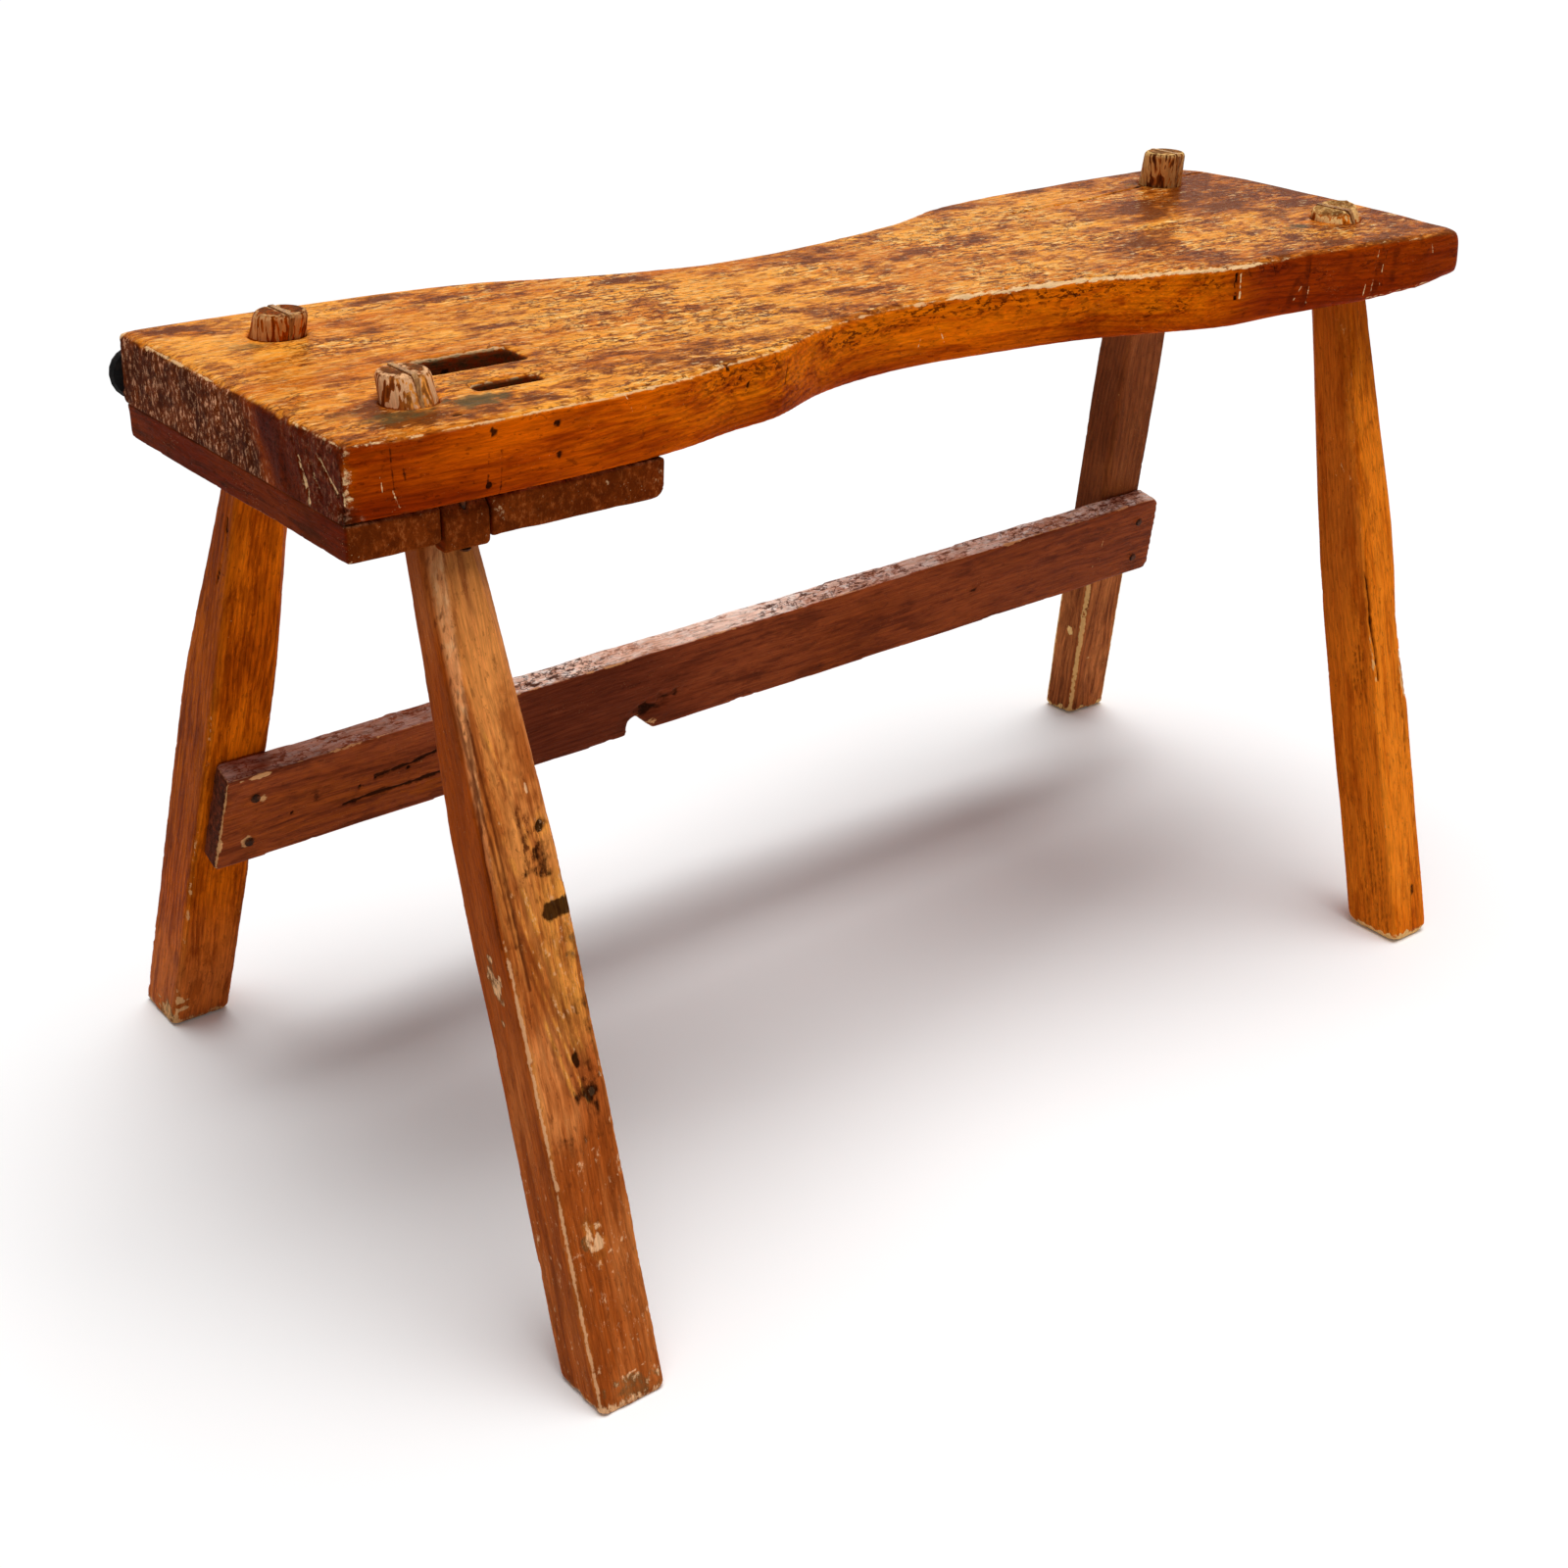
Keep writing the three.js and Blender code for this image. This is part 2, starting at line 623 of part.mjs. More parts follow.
function makeBench() {
  const legs = Object.keys(leg_table_shares).map(describeLeg);
  const [front_left, back_left, back_right] = legs;
  const cleats = describeCleats(front_left, back_left);
  const rail = describeRail(back_left, back_right);
  const rail_nails = findRailNails(rail);
  const cleat_nails = findCleatNails(cleats);
  const rail_nail_holes = makeNailHoles(rail_nails);
  const cleat_nail_holes = makeNailHoles(cleat_nails);
  const leg_holes = joinSolids(legs.map((leg) => makeLegSolid(leg, fit_gap)));
  const slots = makeSlots();

  const bench = new THREE.Group();
  const seat = makeSeatBlank()
    .subtract(leg_holes)
    .subtract(slots)
    .subtract(cleat_nail_holes)
    .subtract(makeKnob(fit_gap));
  const seat_corner_place = new THREE.Vector3(0, 0, seat_underside);
  bench.add(makeMesh('seat_plank', seat, seat_corner_place, seat_wood));
  bench.add(makeMesh('back_knob', makeKnob(0), seat_corner_place, black_iron));

  legs.forEach((leg) => {
    const blank = makeLegSolid(leg, 0);
    const wedge = blank.intersect(toSolid(loft(makeWedgeRings(leg, 0))));
    const body = blank.subtract(toSolid(loft(makeWedgeRings(leg, fit_gap)))).subtract(rail_nail_holes);
    const foot = axisAt(leg, 0);
    bench.add(makeMesh(`leg_${leg.name}`, body, foot, leg_wood));
    bench.add(makeMesh(`wedge_${leg.name}`, wedge, leg.tenon, wedge_wood));
  });

  const rail_solid = makeRailBlank(rail).subtract(makeRailNotch(rail)).subtract(rail_nail_holes);
  const rail_place = rail.pointAt(0, 0, 0);
  bench.add(makeMesh('back_rail', rail_solid, rail_place, rail_wood));
  bench.add(...makeNailMeshes('rail_nail', rail_nails));

  const cleat_group = new THREE.Group();
  cleats.forEach((cleat) => {
    const solid = makeCleatBlank(cleat).subtract(leg_holes).subtract(slots).subtract(cleat_nail_holes);
    cleat_group.add(makeMesh(cleat.name, solid, cleat.low, cleat_wood));
  });
  cleat_group.add(...makeNailMeshes('cleat_nail', cleat_nails));
  bench.add(cleat_group);

  bench.updateMatrixWorld(true);
  const box = new THREE.Box3().setFromObject(bench, true);
  const middle = box.getCenter(new THREE.Vector3());
  bench.position.set(-middle.x, -middle.y, 0);
  return bench;
}

export default makeBench();
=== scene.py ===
"""The looks of a cobblers bench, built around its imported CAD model.

Each wooden CAD solid but the wedges is replaced by a fine mesh of the same shape whose
edges are worn, whose faces are uneven and whose marks are where the photograph has them.
Places on the bench are in millimetres from the seat's front left corner: x along the
bench, y towards the rail side, z up from the floor.
"""

from math import cos, sin

import bmesh
import bpy
import numpy as np
from mathutils import Matrix, Vector


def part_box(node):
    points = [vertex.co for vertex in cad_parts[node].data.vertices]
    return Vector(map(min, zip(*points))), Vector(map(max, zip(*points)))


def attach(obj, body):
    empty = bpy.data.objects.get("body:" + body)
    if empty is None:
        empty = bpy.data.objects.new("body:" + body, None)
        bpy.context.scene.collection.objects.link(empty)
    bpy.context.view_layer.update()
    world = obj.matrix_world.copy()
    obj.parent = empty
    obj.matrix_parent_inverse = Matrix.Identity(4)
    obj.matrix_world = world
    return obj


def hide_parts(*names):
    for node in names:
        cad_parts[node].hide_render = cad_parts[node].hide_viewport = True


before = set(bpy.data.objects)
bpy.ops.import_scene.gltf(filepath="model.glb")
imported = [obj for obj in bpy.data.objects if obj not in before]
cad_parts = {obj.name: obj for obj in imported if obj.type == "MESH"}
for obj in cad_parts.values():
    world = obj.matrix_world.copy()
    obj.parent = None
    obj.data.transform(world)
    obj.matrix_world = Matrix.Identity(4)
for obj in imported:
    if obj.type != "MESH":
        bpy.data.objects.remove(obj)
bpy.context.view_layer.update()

MM = 0.001
BENCH_CORNER = Vector((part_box("end_cleat")[0].x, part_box("end_cleat")[0].y, 0.0))


def bench_box(node):
    """The low and high corner of a CAD node's box, on the bench."""
    return [(corner - BENCH_CORNER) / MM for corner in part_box(node)]


SEAT_LOW, SEAT_HIGH = bench_box("seat_plank")

# Directions that surfaces face
UP, DOWN, FRONT, LEFT = (0, 0, 1), (0, 0, -1), (0, -1, 0), (-1, 0, 0)
FRONT_LEFT = (-0.71, -0.71, 0)

# Size of the even meshes' cells
SEAT_CELL, LEG_CELL, RAIL_CELL, CLEAT_CELL = 2.7, 2.1, 2.3, 1.7

# Camera, solved from the photograph
CAMERA_PLACE = (-574.33, -1178.97, 1086.45)
CAMERA_YAW = 0.670136
CAMERA_PITCH = 0.464052
CAMERA_ROLL = 0.016821
CAMERA_LENS = 48.647
SENSOR_WIDTH = 36.0


def to_world(x, y, z):
    """A place on the bench, in the frame of the CAD model."""
    return BENCH_CORNER + Vector((x, y, z)) * MM


def add_object(name, data):
    item = bpy.data.objects.new(name, data)
    bpy.context.collection.objects.link(item)
    return item


# Numbers for points

AXIS_PRIMES = (73856093, 19349663, 83492791)
SEED_STEP, SEED_START = 2654435761, 97
MIX_PRIME = 1274126177
MIX_MASK = 0xFFFFFF


def lattice(cells, seed):
    """A repeatable number from 0 to 1 for each cell of a grid."""
    mixed = np.uint64(seed * SEED_STEP + SEED_START)
    for axis, prime in enumerate(AXIS_PRIMES):
        mixed = mixed ^ cells[:, axis].astype(np.int64).astype(np.uint64) * np.uint64(prime)
    mixed = (mixed ^ (mixed >> np.uint64(13))) * np.uint64(MIX_PRIME)
    mixed ^= mixed >> np.uint64(16)
    return (mixed & np.uint64(MIX_MASK)).astype(float) / MIX_MASK


def noise(points, size, seed):
    """Smooth noise from -1 to 1 whose lumps are about as large as size."""
    scaled = points / np.asarray(size, float)
    cell = np.floor(scaled)
    t = scaled - cell
    t = t * t * (3 - 2 * t)
    total = np.zeros(len(points))
    for corner in np.ndindex(2, 2, 2):
        weight = np.prod(np.where(corner, t, 1 - t), axis=1)
        total += weight * lattice(cell + corner, seed)
    return 2 * total - 1


def fractal(points, size, seed, octaves=3):
    """Noise with finer noise on it, about -1 to 1."""
    total = np.zeros(len(points))
    for octave in range(octaves):
        total += noise(points, np.asarray(size, float) / 2**octave, seed + octave) / 2**octave
    return total


def rise(start, end, values):
    """Goes smoothly from 0 at the start value to 1 at the end value."""
    t = np.clip((values - start) / (end - start), 0, 1)
    return t * t * (3 - 2 * t)


def fall(start, end, values):
    """Goes smoothly from 1 at the start value to 0 at the end value."""
    return 1 - rise(start, end, values)


# Surfaces that can be worn and marked

FIELDS = ("worn", "bare", "stain", "grime", "deep", "glow", "fleck", "seam", "end", "top")


class Surface:
    """A fine even mesh of a CAD node, in millimetres on the bench."""

    def __init__(self, node, cell):
        self.node = node
        self.obj = add_object(node + "_fine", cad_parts[node].data.copy())
        self.obj.data.materials.clear()
        remesh = self.obj.modifiers.new("remesh", "REMESH")
        remesh.mode = "VOXEL"
        remesh.voxel_size = cell * MM
        remesh.adaptivity = 0
        graph = bpy.context.evaluated_depsgraph_get()
        mesh = bpy.data.meshes.new_from_object(self.obj.evaluated_get(graph))
        self.obj.modifiers.clear()
        self.obj.data = mesh
        self.low, self.high = bench_box(node)
        self.fields = {}
        self.read_mesh()
        self.points = self.smoothed(1)
        self.update_normals()
        self.fields = {name: np.zeros(len(self.points)) for name in FIELDS}
        self.fields["free"] = np.ones(len(self.points))

    def read_mesh(self):
        mesh = self.obj.data
        count = len(mesh.vertices)
        flat = np.empty(count * 3)
        mesh.vertices.foreach_get("co", flat)
        self.points = (flat.reshape(-1, 3) - np.array(BENCH_CORNER)) / MM
        pairs = np.empty(len(mesh.edges) * 2, np.int64)
        mesh.edges.foreach_get("vertices", pairs)
        self.edges = pairs.reshape(-1, 2)
        self.degree = np.bincount(self.edges.ravel(), minlength=count)
        for name in self.fields:
            values = np.empty(count, np.float32)
            mesh.attributes[name].data.foreach_get("value", values)
            self.fields[name] = values.astype(float)

    def write_points(self):
        world = self.points * MM + np.array(BENCH_CORNER)
        self.obj.data.vertices.foreach_set("co", world.ravel())
        self.obj.data.update()

    def write_mesh(self):
        self.write_points()
        layers = self.obj.data.attributes
        for name, values in self.fields.items():
            layer = layers.get(name) or layers.new(name, "FLOAT", "POINT")
            layer.data.foreach_set("value", np.clip(values, 0, 1).astype(np.float32))
        self.obj.data.update()

    def update_normals(self):
        self.write_points()
        normals = np.empty(len(self.points) * 3)
        self.obj.data.vertex_normals.foreach_get("vector", normals)
        self.normals = normals.reshape(-1, 3)

    def smoothed(self, rounds):
        points = self.points.copy()
        a, b = self.edges.T
        for _ in range(rounds):
            total = np.zeros_like(points)
            for axis in range(3):
                total[:, axis] += np.bincount(a, points[b, axis], len(points))
                total[:, axis] += np.bincount(b, points[a, axis], len(points))
            points = 0.5 * points + 0.5 * total / self.degree[:, None]
        return points

    def noise(self, size, seed):
        return noise(self.points, size, seed)

    def fractal(self, size, seed):
        return fractal(self.points, size, seed)

    def facing(self, direction, start=0.5, end=0.9):
        """1 where the surface faces a direction, and 0 where it is turned away."""
        return rise(start, end, self.normals @ np.array(direction, float))

    def front_arris(self, spread):
        """1 on the edge between the top and the front, 0 beside it."""
        return np.exp(-((self.normals[:, 2] - 0.7) / spread) ** 2) * (self.normals[:, 1] < 0)

    def sharpness(self, rounds):
        """About 1 on outer edges, 0 on flat faces and -1 in inner corners."""
        away = np.einsum("ij,ij->i", self.points - self.smoothed(rounds), self.normals)
        return away / np.percentile(np.abs(away), 99.5)

    def hold(self, share):
        """Limits how far the points can move from now on, each by its own share."""
        self.fields["free"] = np.minimum(self.fields["free"], share)

    def push(self, depth):
        """Moves each point inwards by its own depth in millimetres, never outwards."""
        reach = np.maximum(depth, 0) * self.fields["free"]
        self.points = self.points - self.normals * reach[:, None]

    def soften(self, amount, rounds):
        """Moves points part of the way to the smoothed shape, each by its own share."""
        share = np.asarray(amount) * self.fields["free"]
        self.points += (self.smoothed(rounds) - self.points) * share[:, None]

    def add(self, **fields):
        """Raises fields to the given values where they are lower."""
        for name, values in fields.items():
            self.fields[name] = np.maximum(self.fields[name], values)

    def wear_edges(self, rounding, rounds, seed, worn=0.6, chips=0.7, lump=28):
        """Rounds the outer edges unevenly, chips them and marks them as worn."""
        edge = np.clip(self.sharpness(rounds), 0, 1)
        uneven = np.clip(0.7 + 0.45 * self.fractal(lump, seed), 0.1, 1.2)
        self.soften(np.clip(rise(0.1, 0.6, edge) * rounding * uneven, 0, 1), rounds)
        chipped = rise(0.45, 0.8, self.fractal(11, seed + 7)) * rise(0.5, 0.9, edge)
        self.push(chips * chipped)
        share = worn * rise(0.5, 1.0, edge) * uneven + 0.3 * chipped
        self.add(worn=share * self.fields["free"])
        self.update_normals()

    def refine(self, zones, cuts=1):
        """Divides the faces in any of the zones, so that finer marks fit."""
        self.write_mesh()
        wanted = np.logical_or.reduce(zones)
        edit = bmesh.new()
        edit.from_mesh(self.obj.data)
        edges = [edge for edge in edit.edges if all(wanted[vert.index] for vert in edge.verts)]
        bmesh.ops.subdivide_edges(edit, edges=edges, cuts=cuts, use_grid_fill=True)
        edit.to_mesh(self.obj.data)
        edit.free()
        self.read_mesh()
        self.update_normals()

    def finish(self, name, slot, material):
        """Writes the mesh and its fields, and puts the piece in the CAD node's place."""
        self.points = np.clip(self.points, self.low, self.high)
        self.write_mesh()
        mesh = self.obj.data
        mesh.polygons.foreach_set("use_smooth", [True] * len(mesh.polygons))
        mesh.materials.append(material)
        self.obj.name = name
        mesh.name = name
        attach(self.obj, "root")
        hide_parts(self.node)


class Face:
    """One side of a surface, drawn on in two coordinates in millimetres."""

    def __init__(self, surface, axes, direction, local=None):
        self.surface = surface
        places = surface.points if local is None else local
        self.plane = places[:, axes]
        self.mask = surface.facing(direction, 0.3, 0.75)
        self.rough = surface.noise(5, 5)
        self.broken = 0.35 + 0.65 * rise(-0.4, 0.3, surface.fractal(7, 6))

    def path_distance(self, path):
        """How far each point is from a path, given as points or as their flat numbers."""
        nearest = np.full(len(self.plane), np.inf)
        path = np.reshape(path, (-1, 2)).astype(float)
        for start, end in zip(path[:-1], path[1:]):
            along = end - start
            t = np.clip((self.plane - start) @ along / (along @ along), 0, 1)
            away = np.linalg.norm(self.plane - start - t[:, None] * along, axis=1)
            nearest = np.minimum(nearest, away)
        return nearest

    def near(self, path, reach):
        return (self.path_distance(path) < reach) & (self.mask > 0)

    def stroke(self, path, width, depth=0.0, solid=False, **fields):
        """A line along a path, broken up unless it is solid, that fades out at its sides."""
        away = self.path_distance(path) + 0.3 * width * self.rough
        share = self.mask * fall(0.25 * width, 0.5 * width + 0.6, away)
        if not solid:
            share = share * self.broken
        self.apply(share, depth, fields)

    def blob(self, centre, size, depth=0.0, ragged=0.35, soft=0.5, **fields):
        """An oval patch of given half sizes, with a ragged rim."""
        away = np.linalg.norm((self.plane - np.array(centre, float)) / np.array(size, float), axis=1)
        away = away + ragged * self.rough
        share = self.mask * fall(1 - soft, 1 + soft * 0.3, away)
        self.apply(share, depth, fields)

    def strokes(self, paths, width, **settings):
        for path in paths:
            self.stroke(path, width, **settings)

    def blobs(self, field, rows, **settings):
        """Patches of one field, each row with its centre, half sizes and strength."""
        for a, b, width, height, strength in rows:
            self.blob((a, b), (width, height), **{field: strength}, **settings)

    def apply(self, share, depth, fields):
        if depth:
            self.surface.push(depth * share)
        self.surface.add(**{name: value * share for name, value in fields.items()})


# Shader nodes


class Value:
    """A shader node's output, to be reckoned with like a number."""

    def __init__(self, graph, socket):
        self.graph, self.socket = graph, socket

    def math(self, operation, other=None):
        return self.graph.add("Math", {0: self, 1: other}, operation=operation)

    def __add__(self, other):
        return self.math("ADD", other)

    def __sub__(self, other):
        return self.math("SUBTRACT", other)

    def __mul__(self, other):
        return self.math("MULTIPLY", other)

    def larger(self, other):
        return self.math("MAXIMUM", other)

    def vector(self, operation, other=None, output=0):
        return self.graph.add("VectorMath", {0: self, 1: other}, output, operation=operation)

    def ramp(self, low, high, start=0.0, end=1.0):
        """Goes smoothly from one number to another while the value goes from low to high."""
        inputs = {"Value": self, "From Min": low, "From Max": high, "To Min": start, "To Max": end}
        return self.graph.add("MapRange", inputs, interpolation_type="SMOOTHSTEP")


class Graph:
    """The nodes of a material or world, and the colour that its paints have reached."""

    def __init__(self, owner):
        owner.use_nodes = True
        self.owner = owner
        self.tree = owner.node_tree
        self.tree.nodes.clear()
        self.colour = None

    def add(self, kind, inputs=None, output=0, **settings):
        node = self.tree.nodes.new("ShaderNode" + kind)
        for key, value in settings.items():
            setattr(node, key, value)
        for key, value in (inputs or {}).items():
            if isinstance(value, Value):
                self.tree.links.new(value.socket, node.inputs[key])
            elif value is not None:
                node.inputs[key].default_value = value
        return Value(self, node.outputs[output]) if node.outputs else node

    def noise(self, vector, scale, detail=3.0, roughness=0.55, output=0):
        """Noise whose scale is given along the grain and across it."""
        place = vector.vector("MULTIPLY", (*scale, scale[-1])[:3])
        inputs = {"Vector": place, "Scale": 1.0, "Detail": detail, "Roughness": roughness}
        return self.add("TexNoise", inputs, output)

    def mix(self, factor, a, b, blend="MIX"):
        return self.add("Mix", {0: factor, 6: a, 7: b}, 2, data_type="RGBA", blend_type=blend)

    def field(self, name):
        return self.add("Attribute", output=2, attribute_name=name)

    def paint(self, share, colour):
        """Lays a colour over what is painted so far."""
        self.colour = self.mix(share, self.colour, colour)

    def shade(self, colour, value):
        """The colour made darker or lighter by a value around 1."""
        grey = self.add("CombineColor", {0: value, 1: value, 2: value})
        return self.mix(1.0, colour, grey, "MULTIPLY")

    def surface(self, roughness, height, strength, distance, metallic=0.0, specular=0.5):
        bump = self.add("Bump", {"Height": height, "Strength": strength, "Distance": distance})
        inputs = {"Base Color": self.colour, "Roughness": roughness, "Normal": bump,
                  "Metallic": metallic, "Specular IOR Level": specular}
        self.add("OutputMaterial", {"Surface": self.add("BsdfPrincipled", inputs)})
        return self.owner


def srgb(red, green, blue):
    """A colour given as it looks on screen, 0 to 255, as the shader wants it."""
    def linear(value):
        share = value / 255
        return share / 12.92 if share <= 0.04045 else ((share + 0.055) / 1.055) ** 2.4
    return (linear(red), linear(green), linear(blue), 1.0)


def palette(**colours):
    """Colours by name, where one can be a palette of its own."""
    return {name: c if isinstance(c, dict) else srgb(*c) for name, c in colours.items()}


BURNT = srgb(28, 10, 3)
GRIME = srgb(84, 76, 46)
BUMP_STRENGTH, BUMP_DISTANCE = 0.8, 0.0018


def grain_coordinates(graph, along, seed):
    """Object coordinates turned so that x runs along the grain."""
    turn = Vector(along).normalized().rotation_difference(Vector((1, 0, 0))).to_euler()
    place = graph.add("TexCoord", output=3)
    turned = graph.add("Mapping", {"Vector": place, "Rotation": turn})
    return turned.vector("ADD", (seed * 1.713, seed * 0.031, seed * 0.053))


def ring_lines(grain, pith, spacing):
    """Dark thin lines where the growth rings come to the surface, from 0 to 1."""
    centred = grain.vector("ADD", (0.0, -pith[0], -pith[1])).vector("MULTIPLY", (0.0, 1.0, 1.0))
    phase = (centred.vector("LENGTH", output=1) * (1 / spacing)).math("FRACT")
    return phase.ramp(0.35, 0.93) * phase.ramp(0.93, 1.0, 1.0, 0.0)


def make_wood(name, along, seed, light, middle, dark, line, deep, glow, pale, top=None, end=None,
              rings=0.4, ring_spacing=0.005, pith=(0.12, -0.16), flecks=0.5, streaks=0.7, patina=0.5,
              rough=0.36, scratches=0.5, specular=0.08):
    """Varnished old wood with rings, fibres, flecks, stains, worn edges and scratches."""
    graph = Graph(bpy.data.materials.new(name))
    field, paint = graph.field, graph.paint
    grain = grain_coordinates(graph, along, seed)
    warp = graph.noise(grain, (3.5, 12.0), output=1)
    warped = grain.vector("ADD", warp.vector("MULTIPLY", (0.03, 0.024, 0.024)))
    broad = graph.noise(grain, (5.0, 16.0), 4.0)
    streak = graph.noise(warped, (9.0, 110.0), 6.0, 0.7)
    fibre = graph.noise(warped, (45.0, 620.0), 3.0, 0.65)
    spots = graph.noise(warped, (120.0, 330.0), 3.0, 0.65)
    dirt = graph.noise(grain, (14.0, 42.0), 7.0, 0.72)
    breakup = graph.noise(grain, (110.0, 210.0), 5.0, 0.72)
    end_spots = graph.noise(grain, (150.0, 300.0, 170.0), 4.0, 0.75)
    loose = breakup - 0.5

    tone = (broad * 0.5 + streak * 0.5).ramp(0.4, 0.6)
    graph.colour = graph.mix(tone, light, middle)
    # The glow colour: a warmer, paler tone, and in places a painted highlight on edges and lips
    paint(field("glow") * streak.ramp(0.4, 0.62, 1.0, 0.3), glow)
    paint(field("deep") * broad.ramp(0.3, 0.6, 0.7, 1.0), deep)
    paint(streak.ramp(0.52, 0.62) * streaks, dark)
    paint(dirt.ramp(0.52, 0.62) * patina, dark)
    paint(ring_lines(warped, pith, ring_spacing) * broad.ramp(0.35, 0.65, 0.2, 1.0) * rings, line)
    if top:
        paint_top(graph, grain, warped, tone, top)
    fleck_share = (spots.ramp(0.6, 0.66) * flecks).larger(spots.ramp(0.52, 0.57) * field("fleck"))
    paint(fleck_share, line)
    graph.colour = graph.shade(graph.colour, fibre.ramp(0.3, 0.7, 0.74, 1.18))
    paint_end_grain(graph, end_spots, dirt, end or {"light": middle, "middle": dark, "dark": line})

    # Marks from the fields, their rims broken up by the loose noise. Some of them are painted light and
    # shade: highlights on arrises and lips, shade under the seat and on faces turned from the light.
    paint(field("seam") * 0.9, line)
    paint((field("worn") + loose * 1.4).ramp(0.42, 0.62) * 0.7, pale)
    paint((field("grime") + loose * 1.1).ramp(0.25, 0.8, 0.0, 0.8), GRIME)
    stain = (field("stain") + loose * 1.2).ramp(0.32, 0.8)
    paint(stain * 0.92, BURNT)
    bare = (field("bare") + loose * 1.3).ramp(0.4, 0.62)
    paint(bare, graph.shade(pale, fibre.ramp(0.3, 0.7, 0.75, 1.12)))
    scratch = scratch_share(graph, grain, scratches)
    paint(scratch, pale)

    dull = stain.larger(bare).larger(field("end") * 0.7)
    roughness = breakup.ramp(0.3, 0.7, rough - 0.07, rough + 0.1) + dull * 0.2
    height = fibre * 0.3 + streak * 0.45 - fleck_share * 0.3 - scratch * 0.25
    height = height + end_spots * field("end") * 1.2 + breakup * 0.3
    return graph.surface(roughness, height, BUMP_STRENGTH, BUMP_DISTANCE, specular=specular)


def paint_end_grain(graph, spots, dirt, end):
    """Dark open end grain with paler specks."""
    under = graph.colour
    graph.colour = graph.mix(dirt.ramp(0.42, 0.58), end["middle"], end["dark"])
    graph.paint(spots.ramp(0.53, 0.61) * dirt.ramp(0.38, 0.58, 1.0, 0.4), end["light"])
    graph.paint(spots.ramp(0.48, 0.4, 0.0, 0.85), end["dark"])
    graph.colour = graph.mix(graph.field("end") * 0.92, under, graph.colour)


def paint_top(graph, grain, warped, tone, top):
    """The blotched top of a used seat: golden where it has polish, with painted highlights and glints of
    light, dark where it is dirty; on the rail and a leg's bevel it paints a pale sheen.
    """
    under, paint = graph.colour, graph.paint
    deep = graph.field("deep")
    patch = graph.noise(warped, (22.0, 36.0), 8.0, 0.74)
    ticks = graph.noise(warped, (75.0, 210.0), 4.0, 0.7)
    glints = graph.noise(warped, (80.0, 200.0), 4.0, 0.7)
    curls = graph.noise(grain, (50.0, 80.0), 3.0, 0.6)
    where = graph.noise(grain, (11.0, 20.0))
    busy = (where + graph.field("glow") * -0.25).ramp(0.36, 0.56, 0.4, 1.0)
    dirty = patch + deep * 0.17 + (ticks - 0.5) * 0.3
    ridge = (curls - 0.5).math("ABSOLUTE")
    graph.colour = graph.mix(tone, top["light"], top["middle"])
    # Painted highlights: pale flecks where light catches the top
    paint(glints.ramp(0.49, 0.58, 0.0, 0.85) * busy, top["polished"])
    paint(deep.ramp(0.3, 1.0, 0.0, 0.5), top["dirty"])
    paint(dirty.ramp(0.52, 0.6, 0.0, 0.75), top["dirty"])
    paint(dirty.ramp(0.6, 0.68, 0.0, 0.75), top["dark"])
    paint(ticks.ramp(0.54, 0.59, 0.0, 0.9) * busy, top["ticks"])
    # Painted glints of light
    paint(glints.ramp(0.61, 0.65, 0.0, 0.7) * busy, top["glint"])
    paint(ridge.ramp(0.01, 0.035, 0.75, 0.0) * where.ramp(0.46, 0.54), top["ticks"])
    graph.colour = graph.mix(graph.field("top"), under, graph.colour)


def scratch_share(graph, grain, amount):
    """Sparse short scratches across the grain."""
    slanted = graph.add("Mapping", {"Vector": grain, "Rotation": (0.5, 0.7, 1.1)})
    hairs = graph.noise(slanted, (45.0, 1300.0), 1.0)
    where = graph.noise(grain, (30.0, 40.0), 2.0)
    return hairs.ramp(0.7, 0.78) * where.ramp(0.5, 0.62) * amount


# Stage

FLOOR_GREY = 0.92
FLOOR_GLOW = 0.04
SKY_STRENGTH = 0.18
SUN_STRENGTH = 2.85
SUN_SPREAD = 0.75
SUN_FROM = (0.06, -0.02, 0.98)
FLOOR_REACH = 30.0


def make_camera():
    data = bpy.data.cameras.new("camera")
    data.lens = CAMERA_LENS
    data.sensor_width = SENSOR_WIDTH
    data.clip_end = 2 * FLOOR_REACH
    sin_yaw, cos_yaw = sin(CAMERA_YAW), cos(CAMERA_YAW)
    sin_pitch, cos_pitch = sin(CAMERA_PITCH), cos(CAMERA_PITCH)
    ahead = Vector((sin_yaw * cos_pitch, cos_yaw * cos_pitch, -sin_pitch))
    right = Vector((cos_yaw, -sin_yaw, 0))
    up = right.cross(ahead)
    turned_right = right * cos(CAMERA_ROLL) + up * sin(CAMERA_ROLL)
    turned_up = up * cos(CAMERA_ROLL) - right * sin(CAMERA_ROLL)
    camera = add_object("camera", data)
    axes = Matrix((turned_right, turned_up, -ahead)).transposed().to_4x4()
    camera.matrix_world = Matrix.Translation(to_world(*CAMERA_PLACE)) @ axes
    bpy.context.scene.camera = camera


def make_sun():
    data = bpy.data.lights.new("sun", "SUN")
    data.angle = SUN_SPREAD
    data.energy = SUN_STRENGTH
    sun = add_object("sun", data)
    sun.rotation_euler = Vector(SUN_FROM).to_track_quat("Z", "Y").to_euler()


def background_rays(graph):
    """1 for the rays that show a background: camera, glossy and transmission."""
    kinds = ("Is Camera Ray", "Is Glossy Ray", "Is Transmission Ray")
    camera, glossy, transmission = (graph.add("LightPath", output=kind) for kind in kinds)
    return camera.larger(glossy).larger(transmission)


